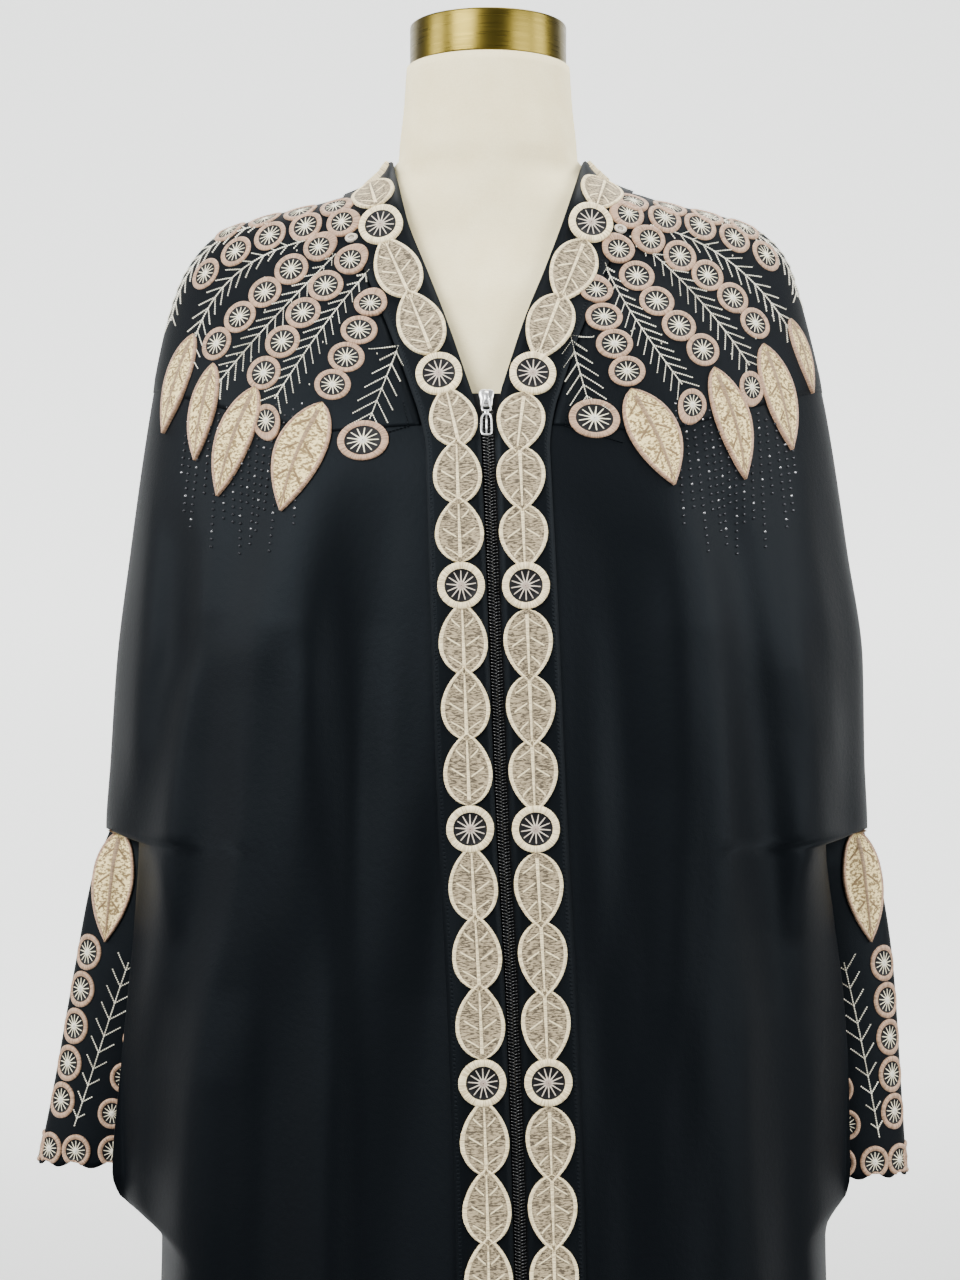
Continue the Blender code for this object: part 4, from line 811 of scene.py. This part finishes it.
def leaf_motif(length, half_width, rim, wall, powers=(0.6, 0.8), bend=0.0, rib_share=0.36):
    """Leaf with a thick satin rim, a lower stitched fill and a raised midrib; its tip is at +length / 2."""
    stations, (base_power, tip_power) = 27, powers
    t = np.linspace(0, 1, stations)
    peak = base_power / (base_power + tip_power)
    shape = t ** base_power * (1 - t) ** tip_power / (peak ** base_power * (1 - peak) ** tip_power)
    half = np.maximum(half_width * shape, 0.0002)[:, None]
    edge = np.minimum(rim, half * 0.75)
    rib = np.minimum(rim * rib_share, half * 0.2) * (1.15 - 0.75 * t)[:, None]
    inner = half - edge * 1.05
    fill = rib * 1.3 - inner
    columns = [half, half, half - edge * 0.2, half - edge * 0.55, half - edge * 0.9, inner,
               inner + fill * 0.35, inner + fill * 0.7, rib * 1.3, rib * 0.7, 0 * half]
    rise = [0.0, 0.45, 0.85, 1.0, 0.85, 0.5, 0.42, 0.42, 0.42, 0.72, 0.85]
    across = np.concatenate(columns + [-c for c in columns[-2::-1]], axis=1)
    heights = np.broadcast_to(wall * np.array(rise + rise[-2::-1]), across.shape)
    ahead = np.broadcast_to(((t - 0.5) * length)[:, None], across.shape)
    uv = np.stack((ahead, across / half), -1).reshape(-1, 2)
    flat = np.stack((ahead, across + bend * np.sin(np.pi * t)[:, None]), -1).reshape(-1, 2)
    faces = grid_faces(*across.shape)
    column = np.tile(np.arange(across.shape[1] - 1), stations - 1)
    row = np.repeat(np.arange(stations - 1), across.shape[1] - 1)
    zones = np.ones(len(faces), int)
    zones[(column < 5) | (column > 14)] = 0
    zones[(column >= 8) & (column <= 11) & (row > 1) & (row < stations * 0.86)] = 2
    return flat, heights.reshape(-1).copy(), uv, faces, zones


def disc_motif(radius, ring, wall, pointed=0.0):
    """Medallion: a thick satin ring, a low ground and a small knot; a pointed one is drawn out at angle 0."""
    around = 36
    radii = np.array((1, 1, 1 - ring * 0.2, 1 - ring * 0.5, 1 - ring * 0.85, 1 - ring,
                      0.45, 0.15, 0.10, 0.02))
    rise = wall * np.array((0.0, 0.45, 0.85, 1.0, 0.8, 0.35, 0.35, 0.45, 0.75, 0.85))
    point = pointed * ((1 + circle(around)[:, 0]) / 2) ** 8
    drawn = 1 + point * np.clip(radii / (1 - ring) - 0.8, 0, 1)[:, None]
    uv = radii[:, None, None] * circle(around)
    flat = radius * uv * drawn[..., None]
    faces = grid_faces(len(radii), around, ring=True)
    ring_row = np.repeat(np.arange(len(radii) - 1), around)
    zones = np.where(ring_row < 5, 0, np.where(ring_row > 6, 2, 1))
    return flat.reshape(-1, 2), np.repeat(rise, around), uv.reshape(-1, 2), faces, zones


def stitch_motif(length, width, wall, zone):
    """One raised stitch, or a dot where it is as short as it is wide."""
    ahead, across = np.array((-0.5, -0.3, 0.3, 0.5)) * length, np.array((-0.5, 0, 0.5)) * width
    heights = np.outer((0.45, 1, 1, 0.45), (0, wall, 0))
    flat = np.stack(np.meshgrid(ahead, across, indexing="ij"), -1).reshape(-1, 2)
    flat[[0, 2, 9, 11], 1] *= 0.5
    return flat, heights.reshape(-1), flat, grid_faces(4, 3), np.full(6, zone)


def bead_motif(radius, zone):
    """Round glass bead sewn flat on the cloth."""
    rings, rise = np.array((1.0, 0.85, 0.5, 0.05)), np.array((0.0, 0.55, 0.9, 1.0))
    flat = (radius * rings[:, None, None] * circle(8)).reshape(-1, 2)
    return flat, np.repeat(rise * radius * 1.3, 8), flat, grid_faces(4, 8, ring=True), np.full(24, zone)


def satin(name, colour, shadow, roughness=0.5, ring=False, **fixed):
    """Thick satin stitch: threads side by side across a leaf's rim, or round a ring."""
    made = Finish(name, colour, roughness, Sheen_Weight=0.15, **fixed)
    ahead, over = made.uv()
    beside = ahead.maths("ARCTAN2", over, ahead) * 0.012 if ring else ahead
    threads = made.threads(beside * 1900, over * (1.2 if ring else 2.5))
    made.set("Base Color", threads.above(0.48, 0.10).paint(shadow, colour))
    made.relief(threads, 0.0006, 0.8)
    return made


def stitched_fill(name, light, dark, vein, vein_pitch, lean_out, fineness, vein_width):
    """Wavering rows of stitches across the leaf, with short side veins that lean towards its tip, and painted
    shade that darkens the fill towards the midrib.
    """
    made = Finish(name, light, 0.75, Sheen_Weight=0.05)
    ahead, over = made.uv()
    rows = made.threads(ahead * fineness[0], over * fineness[1])
    share = over.size()
    lean = (ahead - share * lean_out) / vein_pitch
    near = (lean.maths("FRACT", lean) - 0.5).size() * vein_pitch
    veins = (1 - near.above(vein_width, vein_width * 0.6)) * (1 - (share - 0.40).size().above(0.27, 0.03))
    ground = rows.above(0.49, 0.07).paint(dark, light)
    # Painted shade: the fill is darkened towards the midrib, where it lies lower than the rim.
    painted_rib_shade = 0.55 * (1 - share.above(0.10, 0.35))
    made.set("Base Color", veins.paint(painted_rib_shade.paint(ground, dark), vein))
    made.relief(rows * 0.8 + veins, 0.0007, 0.8)
    return made


def spoked_ground(name, thread):
    """Black cloth inside a ring, crossed by spokes of bright thread."""
    spokes, ground = 13, (0.002, 0.002, 0.0025)
    made = Finish(name, ground, 0.6, Specular_IOR_Level=0.2)
    x, y = made.uv()
    angle = x.maths("ARCTAN2", y, x)
    radius = (x * x + y * y) ** 0.5
    grain = made.noise(made.place(), 1600.0, 2.0)
    off_spoke = (angle * (spokes / 2)).sin().size() * radius * (2 / spokes)
    spoke = 1 - (off_spoke + radius * 0.012 + grain * 0.010).above(0.033, 0.008)
    short = spoke * (1 - radius.above(0.62, 0.03))
    made.set("Base Color", short.paint(ground, thread))
    made.relief(short + grain * 0.2, 0.0005, 0.7)
    return made


CREAM, CREAM_SHADE = (0.95, 0.81, 0.48), (0.52, 0.41, 0.225)
cream_rim = satin("cream_satin_rim", CREAM, CREAM_SHADE)
cream_fill = stitched_fill("cream_stitched_fill", (0.40, 0.32, 0.19), (0.068, 0.051, 0.029), CREAM,
                           0.0125, 0.0105, (1250, 4.5), 0.0006)
cream_rib = satin("cream_midrib", CREAM, CREAM_SHADE)
cream_ring = satin("cream_satin_ring", CREAM, CREAM_SHADE, ring=True)
braid_ground = spoked_ground("spoked_black_ground", (0.62, 0.54, 0.44))
knot = satin("pinkish_knot", (0.56, 0.44, 0.36), (0.30, 0.23, 0.18))
BRAID_FINISHES, DISC_ZONES = (cream_rim, cream_fill, cream_rib, cream_ring, braid_ground, knot), (3, 4, 5)
BRAID_DISC = disc_motif(DISC_RADIUS, 0.29, 0.0013)


def sew_braid(name, line, discs, tips_ahead, lift, half_width, leaf_length):
    """Sews leaves along a line of points on a band, with discs centred at the given lengths along it."""
    whole = lengths(line)[-1]
    motifs = Motifs(garment, lift)
    way = 1 if tips_ahead else -1

    def lay(motif, at, **options):
        behind, place, ahead = placed(line, at + np.array((-0.002, 0, 0.002)))
        motifs.add(motif, place, (ahead - behind) * way, **options)

    starts = [0.0] + [at + DISC_RADIUS for at in discs]
    ends = [at - DISC_RADIUS for at in discs] + [whole]
    for start, end in zip(starts, ends):
        count = max(1, round((end - start) / leaf_length))
        step = (end - start) / count
        for k in range(count):
            leaf = leaf_motif(step + 0.005, half_width, 0.0024, 0.0013)
            lay(leaf, start + step * (k + 0.5) + 0.0022 * way, extra=0.0003 * (k % 2))
    for at in discs:
        lay(BRAID_DISC, at, extra=0.0006, zones=DISC_ZONES)
    sewn = motifs.finish(f"leaf_braid_{name}", BRAID_FINISHES, ("braid_" + name,))


line_z = np.linspace(BRAID_TOP, BRAID_BOTTOM, 700)
line_rows = np.stack([np.interp(-line_z, -ROWS[:, 0], ROWS[:, column]) for column in range(3)], -1)
for side, word in SIDES:
    line = front_points(side, line_rows, np.full((len(line_z), 1), BRAID_CENTRE))[:, 0]
    discs = np.interp(-np.array(DISC_HEIGHTS), -line_z, lengths(line))
    sew_braid(word, line, discs, side > 0, BRAID_LIFT, BRAID_LEAF_HALF, BRAID_LEAF_LONG)
line = neck_places(np.linspace(math.radians(6), math.radians(174), 120), np.full(120, BRAID_CENTRE))
sew_braid("neck", line, [], True, NECK_LIFT + BRAID_LIFT, NECK_LEAF_HALF, NECK_LEAF_LONG)

# Embroidered yokes: black crepe laid over each shoulder and stitched down round its edge.
# They carry rows of ringed medallions between fern sprigs, all in raised thread.
# The way that each face looks, its word, and how far its yoke stands off the cloth
FACES = ((1, "front", 0.0003), (-1, "back", 0.0006))
YOKE_WALL = 0.0008
YOKE_INNER_ROW, YOKE_OUTER_ROW = 10.0, 6.9
SOFT_EDGE = (0.0, 0.1, 0.25, 0.5, 0.8)
yoke_crepe, pebble = black_crepe("yoke_crepe", 0.54, 1400.0, 3.0, 0.16)
yoke_crepe.relief(pebble, 0.0005, 0.35)
down = np.linspace(0, 1, 61)[:, None]
over = np.sin(np.pi / 2 * np.linspace(0, 1, 61))[None]
for side, word in SIDES:
    deep = down * (YOKE_INNER_ROW + (YOKE_OUTER_ROW - YOKE_INNER_ROW) * over)
    neck_end = float(shoulder_step(BAND_WIDTH - SEAM)) + 0.03
    steps = neck_end + (12 - neck_end) * np.linspace(0, 1, 61)[None]
    for (turn, face, lift), grid in zip(FACES, (front_places(side, deep, 1.002 + 0.998 * over),
                                                back_places(deep, side * steps))):
        normals = grid_normals(grid, -side * turn)
        strip(f"yoke_{face}_{word}", grid, normals, lift, YOKE_WALL, yoke_crepe,
                                  (f"yoke_{word}_{face}",), SOFT_EDGE)

# Rows of medallions on each shoulder: start, bend and end as (reach, height), and how many
MEDALLION_ROWS = {
    -1: (((0.0817, 1.3326), (0.0925, 1.3060), (0.1068, 1.2747), 4),
         ((0.0967, 1.3660), (0.1279, 1.3298), (0.1558, 1.2852), 5),
         ((0.1195, 1.3770), (0.1573, 1.3455), (0.1918, 1.3093), 5),
         ((0.1035, 1.3955), (0.1575, 1.3890), (0.2040, 1.3645), 5),
         ((0.1090, 1.4090), (0.1500, 1.4065), (0.1885, 1.3985), 4)),
    1: (((0.0746, 1.3425), (0.0822, 1.3150), (0.0946, 1.2839), 4),
        ((0.0912, 1.3739), (0.1185, 1.3345), (0.1488, 1.3017), 5),
        ((0.1140, 1.3825), (0.1543, 1.3585), (0.1888, 1.3244), 5),
        ((0.0990, 1.4015), (0.1530, 1.3965), (0.2010, 1.3786), 5),
        ((0.1031, 1.4121), (0.1450, 1.4090), (0.1860, 1.4000), 4)),
}
# Fern sprigs between the rows: start, bend and end as (reach, height), and how many pairs of branches
SPRIGS = {
    -1: (((0.0617, 1.3017), (0.0715, 1.2750), (0.0809, 1.2496), 6),
         ((0.0831, 1.3587), (0.1130, 1.3190), (0.1475, 1.2658), 14),
         ((0.1073, 1.3716), (0.1500, 1.3250), (0.1892, 1.2796), 15),
         ((0.1295, 1.3833), (0.1863, 1.3549), (0.2120, 1.2979), 14),
         ((0.1535, 1.3989), (0.2050, 1.3830), (0.2302, 1.3319), 12)),
    1: (((0.0560, 1.3089), (0.0603, 1.2904), (0.0675, 1.2619), 6),
        ((0.0814, 1.3637), (0.0985, 1.3273), (0.1331, 1.2756), 14),
        ((0.0995, 1.3849), (0.1400, 1.3480), (0.1827, 1.2922), 15),
        ((0.1144, 1.3944), (0.1720, 1.3700), (0.2154, 1.3225), 14),
        ((0.1500, 1.4040), (0.2016, 1.3910), (0.2250, 1.3500), 12)),
}
# The larger oval and the drops below the rows, and the pearl knot above them, as (reach, height)
LOWER_OVAL = {-1: (0.0853, 1.2352), 1: (0.0716, 1.2502)}
LOWER_DROPS = {-1: ((0.1530, 1.2509),), 1: ((0.1398, 1.2615), (0.1837, 1.2767))}
PEARL = {-1: (0.0964, 1.3835), 1: (0.0928, 1.3901)}
MEDALLION_RADIUS, OVER_BAND = 0.0121, 0.0010
MEDALLION, OVAL = disc_motif(MEDALLION_RADIUS, 0.29, 0.0012), disc_motif(0.0150, 0.27, 0.0012)
DROP = disc_motif(0.0108, 0.31, 0.0012, pointed=0.45)
ROSE, ROSE_SHADE = (0.46, 0.285, 0.175), (0.21, 0.125, 0.07)
rose_ring = satin("rose_beige_ring", ROSE, ROSE_SHADE, 0.45, ring=True)
yoke_ground = spoked_ground("medallion_ground", (0.90, 0.84, 0.62))
silver_thread = satin("silver_white_thread", (0.98, 0.95, 0.78), (0.56, 0.53, 0.41), 0.35,
                      Specular_IOR_Level=0.8)
pearl = satin("pearl_knot", (0.80, 0.73, 0.60), (0.60, 0.52, 0.42), 0.3)
YOKE_FINISHES = (rose_ring, yoke_ground, silver_thread, pearl, yoke_crepe)
SILVER, PEARL_WHITE, BLACK = 2, 3, 4
UP, ACROSS = np.array((0, 0, 1.0)), np.array((1.0, 0, 0))
# How far a sprig's branches reach, and the share of that for the first pair
SHORT_SPRIG, LONG_SPRIG = (0.0190, 0.7), (0.0155, 0.45)
# Pitch, width and thickness of the stitches in a sprig's stem, its branches, a link and the yoke's corner
STEM, BRANCH = (0.0017, 0.0012, 0.0010), (0.0016, 0.0012, 0.0010)
LINK, CORNER = (0.0017, 0.0009, 0.0007), (0.0026, 0.0010, 0.0006)


def curve_seen(side, path, turn):
    """Smooth line over the cloth through three places seen from the front or the back."""
    start, bend, end = np.array(path)
    t = np.linspace(0, 1, 60)[:, None]
    knot = 2 * bend - (start + end) / 2
    flat = (1 - t) ** 2 * start + 2 * t * (1 - t) * knot + t * t * end
    return np.array([garment.seen(side * x, z, turn) for x, z in flat])


def spaced(line, count, ends=True):
    """Places at even spacing along a line, each with the direction of the line there."""
    whole = lengths(line)[-1]
    at = np.linspace(0, whole, count) if ends else (np.arange(count) + 0.5) / count * whole
    return zip(placed(line, at), placed(line, at + 0.004) - placed(line, at - 0.004))


def sew_sprig(motifs, line, pairs, reach_out, first):
    """Stem with pairs of slanting branches, the first pairs shorter."""
    motifs.dashes(line, *STEM, SILVER, 0.85)
    for k, (place, run) in enumerate(spaced(line, pairs, ends=False)):
        run = run / np.linalg.norm(run)
        over = np.cross(motifs.carrier.stand(place)[1], run)
        size = reach_out * min(1.0, first + 0.11 * k)
        for hand in (-1, 1):
            motifs.dashes([place, place + (run * 0.72 + over * 0.70 * hand) * size], *BRANCH, SILVER)


dots = np.random.default_rng(7)
DOT, PEARL_KNOT = stitch_motif(0.0013, 0.0013, 0.0008, SILVER), disc_motif(0.0047, 0.6, 0.0018)
for side, word in SIDES:
    for turn, face, lift in FACES:
        motifs = Motifs(garment, lift + YOKE_WALL)
        for *path, count in MEDALLION_ROWS[side]:
            line = curve_seen(side, path, turn)
            tall = min(1.04, 1.02 * lengths(line)[-1] / (count - 1) / (2 * MEDALLION_RADIUS))
            for k, (place, run) in enumerate(spaced(line, count)):
                if k == 0:
                    motifs.add(DROP, place, -run, (tall, 1.1), OVER_BAND)
                else:
                    motifs.add(MEDALLION, place, run, (tall, 1.1), 0.0002 * (k % 2))
        for x, z in LOWER_DROPS[side]:
            motifs.add(DROP, garment.seen(side * x, z, turn), -0.5 * side * ACROSS - UP, (1.15, 0.95))
        x, z = LOWER_OVAL[side]
        motifs.add(OVAL, garment.seen(side * x, z, turn), ACROSS, (1.18, 0.94))
        for *path, pairs in SPRIGS[side]:
            sprig = SHORT_SPRIG if pairs < 8 else LONG_SPRIG
            sew_sprig(motifs, curve_seen(side, path, turn), pairs, *sprig)
        start, second = np.array(SPRIGS[side][0][0]), np.array(MEDALLION_ROWS[side][0][1])
        link = (start, (start + second) / 2 - (0, 0.004), second + (-0.010, -0.006))
        motifs.dashes(curve_seen(side, link, turn), *LINK, SILVER, 0.9)
        for x, z in dots.uniform((0.075, 1.275), (0.205, 1.385), (26, 2)):
            motifs.add(DOT, garment.seen(side * x, z, turn), UP)
        if turn > 0:
            corner = [front_places(side, np.array(deep), np.array(over)) for deep, over in
                      ((9.9, 1.22), (9.9, 1.04), (8.9, 1.035))]
            motifs.dashes(corner, *CORNER, BLACK)
        x, z = PEARL[side]
        motifs.add(PEARL_KNOT, garment.seen(side * x, z, turn), ACROSS, (1.0, 0.75), zones=(PEARL_WHITE,) * 3)
        sewn = motifs.finish(f"yoke_embroidery_{face}_{word}", YOKE_FINISHES, slot=f"yoke_{word}_{face}")

# Large tan leaf appliques that end the yokes' rows, front and back, each sewn down over the yoke's edge.
# They have a satin edge, a woven stitch fill and a dark midrib.
# Each leaf's name, the reach and height of its top, the reach and height of its tip, its half width
LEAVES = {
    -1: (("inner", 0.113, 1.262, 0.141, 1.187, 0.0190), ("second", 0.1605, 1.2755, 0.187, 1.199, 0.0155),
         ("third", 0.1925, 1.2945, 0.2045, 1.225, 0.0125), ("sleeve", 0.209, 1.318, 0.231, 1.247, 0.0150)),
    1: (("inner", 0.0965, 1.271, 0.1255, 1.2045, 0.0185), ("second", 0.1555, 1.289, 0.1765, 1.2105, 0.0150),
        ("third", 0.193, 1.309, 0.2125, 1.2335, 0.0165), ("sleeve", 0.216, 1.331, 0.232, 1.277, 0.0115)),
}
tan_fill = stitched_fill("tan_woven_fill", (0.86, 0.68, 0.31), (0.19, 0.125, 0.046), (0.17, 0.105, 0.042),
                         0.019, 0.013, (620, 6.0), 0.0009)
tan_rib = satin("tan_midrib", (0.30, 0.195, 0.095), (0.15, 0.092, 0.042))
rose_rim = satin("rose_beige_rim", ROSE, ROSE_SHADE, 0.45)
LEAF_FINISHES, LEAF_LIFT = (rose_rim, tan_fill, tan_rib), 0.0008


def tan_leaf(length, half_width, bend=0.0):
    return leaf_motif(length, half_width, 0.0022, 0.0014, (0.72, 0.95), bend, 0.6)


for side, word in SIDES:
    for turn, face, lift in FACES:
        for name, top_x, top_z, tip_x, tip_z, half_width in LEAVES[side]:
            top, tip = (garment.seen(side * min(x, reach(side, z) - 0.002), z, turn)
                        for x, z in ((top_x, top_z), (tip_x, tip_z)))
            motifs = Motifs(garment, lift + YOKE_WALL + LEAF_LIFT)
            cut = (2 * half_width, float(np.linalg.norm(tip - top)))
            leaf = tan_leaf(cut[1], half_width, 0.003 * side * turn)
            motifs.add(leaf, garment.stand((top + tip) / 2)[0], tip - top)
            words = f"{face}_{word}_{name}"
            sewn = motifs.finish("tan_leaf_" + words, LEAF_FINISHES, ("leaf_" + words,))
            0.72 * cut[0] * cut[1]

# Rows of small glass beads that fall like rain below the yokes, black with silver ones between.
# Each bead is sewn flat to the crepe, and the rows lean outwards a little.
BEAD_FIRST, BEAD_STEP, BEAD_ROWS, BEAD_PITCH, BEAD_RADIUS = 0.128, 0.0060, 15, 0.0052, 0.0010
BEAD_TOP, BEAD_END = 1.262, 1.172
black_glass = Finish("black_glass_bead", (0.05, 0.052, 0.058), 0.14, 0.6)
silver_glass = Finish("silver_glass_bead", (0.42, 0.43, 0.44), 0.15, 0.8)
BEADS = [bead_motif(BEAD_RADIUS, zone) for zone in (0, 1)]
for finish in (black_glass, silver_glass):
    finish.relief(finish.noise(finish.place(), 900.0), 0.0002, 0.2)
for side, word in SIDES:
    for turn, face, _ in FACES:
        motifs = Motifs(garment, 0.0002, 0.0)
        for row in range(BEAD_ROWS):
            x = BEAD_FIRST + BEAD_STEP * row
            start = BEAD_TOP - 0.004 * (row % 3)
            slope = 0.05 + 0.05 * math.sin(row * 0.6)
            end = BEAD_END + 0.018 * math.sin(row * 2.4) + 0.05 * (max(0, row - 8) / 8) ** 2
            for k in range(round((start - end) / BEAD_PITCH)):
                z = start - BEAD_PITCH * k
                place = garment.seen(side * min(x + slope * (start - z), reach(side, z) - 0.003), z, turn)
                motifs.add(BEADS[int((3 * k + 5 * row) % 7 == 0)], place, UP)
        motifs.finish(f"beads_{face}_{word}", (black_glass, silver_glass), slot=f"yoke_{word}_{face}")

# Cuffs: flattened tubes of the same black crepe with a scalloped end, worked like the yokes.
# A tan leaf lies at the top, medallions run down the outer edge and hang over each scallop.
# Stations of each cuff: height, reach of its outer edge, half width, half depth
CUFFS = {
    -1: np.array((
        (0.716, 0.331, 0.049, 0.021), (0.770, 0.320, 0.049, 0.021), (0.860, 0.304, 0.049, 0.021),
        (0.935, 0.289, 0.047, 0.018), (0.962, 0.278, 0.045, 0.0115), (0.984, 0.2745, 0.043, 0.0115))),
    1: np.array((
        (0.708, 0.308, 0.045, 0.022), (0.770, 0.304, 0.045, 0.022), (0.860, 0.298, 0.046, 0.021),
        (0.935, 0.286, 0.046, 0.018), (0.962, 0.276, 0.045, 0.0115), (0.984, 0.2735, 0.043, 0.0115))),
}
SCALLOPS, SCALLOP_DEPTH, CUFF_WALL, CUFF_TOP = 11, 0.007, 0.0016, 0.984
# Two columns of medallions by their heights over the cuff's end: one at one angle, one as (angle, height)
OUTER_COLUMN, OUTER_ANGLE = np.linspace(0.156, 0.048, 5), 0.62
INNER_COLUMN = ((1.95, 0.150), (1.85, 0.122), (1.75, 0.094), (1.66, 0.066), (1.58, 0.040))
CUFF_SPRIG, CUFF_SPRIG_PAIRS, CUFF_SPRIG_TOP, RIM_MEDALLIONS = (0.0145, 0.5), 10, 0.866, 0.0125
# The cuff leaf's top and tip as (reach, height), its length and half width
CUFF_LEAF_ENDS, CUFF_LEAF_LONG, CUFF_LEAF_HALF = ((0.2690, 0.960), (0.2783, 0.881)), 0.082, 0.0168


def cuff_places(side, angle, z, inward=0.0):
    """Places on a cuff; angle 0 is the outer edge, and the front has angles below 0."""
    outer, half_width, half_depth = (along(CUFFS[side][:, (0, column)], z) for column in (1, 2, 3))
    x = outer - half_width + (half_width - inward) * np.cos(angle)
    y = (half_depth - inward) * np.sin(angle) * np.abs(np.sin(angle)) ** 0.15
    return np.stack(np.broadcast_arrays(side * x, y, z), -1)


def scallop(side, angle):
    return CUFFS[side][0, 0] + SCALLOP_DEPTH * (1 - np.abs(np.sin(SCALLOPS * angle / 2)))


cuff_angles = np.linspace(-np.pi, np.pi, 145)[None]
for side, word in SIDES:
    share = np.linspace(0, 1, 61)[:, None]
    z = CUFF_TOP + (scallop(side, cuff_angles) - CUFF_TOP) * share
    outside, inside = (cuff_places(side, cuff_angles, z, inward) for inward in (0.0, CUFF_WALL))
    normals = grid_normals(outside, -side)
    away = outside - cuff_places(side, cuff_angles, z, 0.01)
    normals *= np.sign((normals * away).sum(-1, keepdims=True))
    carrier = Carrier((outside, normals))
    points = np.concatenate((outside, inside[::-1]))[:, :-1]
    rows, columns = points.shape[:2]
    faces = grid_faces(rows + 1, columns, ring=True) % (rows * columns)
    cuff_cloth = add_mesh(f"cuff_cloth_{word}", points, faces, yoke_crepe, replaces=("cuff_" + word,))
    motifs = Motifs(carrier, 0.0001, -0.0003)
    bottom = CUFFS[side][0, 0]
    for turn in (-1, 1):
        for height in OUTER_COLUMN:
            motifs.add(MEDALLION, cuff_places(side, turn * OUTER_ANGLE, bottom + height), UP, (1.09, 1.01))
        heights = np.linspace(bottom + 0.030, CUFF_SPRIG_TOP, 40)
        line = cuff_places(side, turn * np.linspace(1.02, 1.42, 40), heights)
        sew_sprig(motifs, line, CUFF_SPRIG_PAIRS, *CUFF_SPRIG)
        for angle, height in INNER_COLUMN:
            motifs.add(MEDALLION, cuff_places(side, turn * angle, bottom + height), UP, (0.92, 0.86))
    for k in range(SCALLOPS):
        place = cuff_places(side, -math.pi + (2 * k + 1) * math.pi / SCALLOPS, bottom + RIM_MEDALLIONS)
        motifs.add(MEDALLION, place, UP, (0.97, 0.92), extra=0.0004)
    sewn = motifs.finish(f"cuff_embroidery_{word}", YOKE_FINISHES, slot="cuff_" + word)
    sleeve_end = Carrier((outside, normals), layers[(side + 1) // 2], layers[2], overlapping=True)
    for turn, face in ((-1, "front"), (1, "back")):
        ends = []
        for x, z in CUFF_LEAF_ENDS:
            outer, half_width = (along(CUFFS[side][:, (0, column)], z) for column in (1, 2))
            ends.append(cuff_places(side, turn * math.acos((x - outer + half_width) / half_width), z))
        motifs = Motifs(sleeve_end, 0.0014, 0.0003)
        middle = carrier.stand((ends[0] + ends[1]) / 2)[0]
        motifs.add(tan_leaf(CUFF_LEAF_LONG, CUFF_LEAF_HALF), middle, ends[1] - ends[0])
        sewn = motifs.finish(f"cuff_tan_leaf_{face}_{word}", LEAF_FINISHES, (f"cuff_leaf_{face}_{word}",))

# Plain pale floor that sweeps up behind the form, large soft lamps and the camera at chest height.
# They are staging only, and the floor is no part of the object.
curve = [(4.6 + 1.2 * math.sin(a), 1.2 - 1.2 * math.cos(a)) for a in np.linspace(0.1, math.pi / 2, 16)]
sweep = [(-5.0, 0.0), (4.6, 0.0), *curve, (5.8, 6.0)]
points = np.array([[(x, y, z) for x in (-7.0, 7.0)] for y, z in sweep])
mesh = bpy.data.meshes.new("pale_sweep")
mesh.from_pydata(points.reshape(-1, 3).tolist(), [], grid_faces(len(sweep), 2).tolist())
mesh.polygons.foreach_set("use_smooth", [True] * len(mesh.polygons))
paper = Finish("pale_paper", (0.86, 0.86, 0.85), 0.9, Emission_Strength=1.6)
behind = paper.start.node("ShaderNodeSeparateXYZ", {}, {0: paper.place()}, 1)
paper.set("Base Color", behind.above(1.0, 0.8).paint((0.16, 0.16, 0.165), (0.86, 0.86, 0.85)))
paper.set("Emission Color", behind.above(2.6, 2.0).paint((0.0, 0.0, 0.0), (0.98, 1.0, 0.98)))
mesh.materials.append(paper.material)
floor = bpy.data.objects.new("pale_sweep", mesh)
bpy.context.scene.collection.objects.link(floor)

for name, place, width, height, power in (
        ("key_lamp", (-1.7, -2.3, 2.4), 1.6, 1.6, 176), ("fill_lamp", (2.2, -1.9, 1.7), 1.4, 2.0, 84),
        ("top_lamp", (0.2, 0.3, 3.0), 1.8, 1.2, 70), ("left_lamp", (-2.7, -0.5, 1.9), 1.0, 1.6, 60),
        ("right_lamp", (2.7, -0.5, 1.9), 1.0, 1.6, 60)):
    lamp = bpy.data.lights.new(name, "AREA")
    lamp.shape, lamp.size, lamp.size_y, lamp.energy = "RECTANGLE", width, height, power
    holder = bpy.data.objects.new(name, lamp)
    holder.location = place
    holder.rotation_euler = (Vector((0, 0, 1.05)) - holder.location).to_track_quat("-Z", "Y").to_euler()
    bpy.context.scene.collection.objects.link(holder)
world = bpy.data.worlds.new("soft_room")
world.use_nodes = True
world.node_tree.nodes["Background"].inputs["Color"].default_value = (0.93, 0.95, 1.0, 1)
world.node_tree.nodes["Background"].inputs["Strength"].default_value = 0.28
bpy.context.scene.world = world

EYE_HEIGHT, DISTANCE = 1.10, 1.70
camera = bpy.data.objects.new("camera", bpy.data.cameras.new("camera"))
camera.location = (-0.006, -DISTANCE, EYE_HEIGHT)
camera.rotation_euler = (math.pi / 2, 0, 0)
camera.data.lens, camera.data.sensor_width = 65.0, 36.0
bpy.context.scene.collection.objects.link(camera)
bpy.context.scene.camera = camera

bpy.context.view_layer.update()
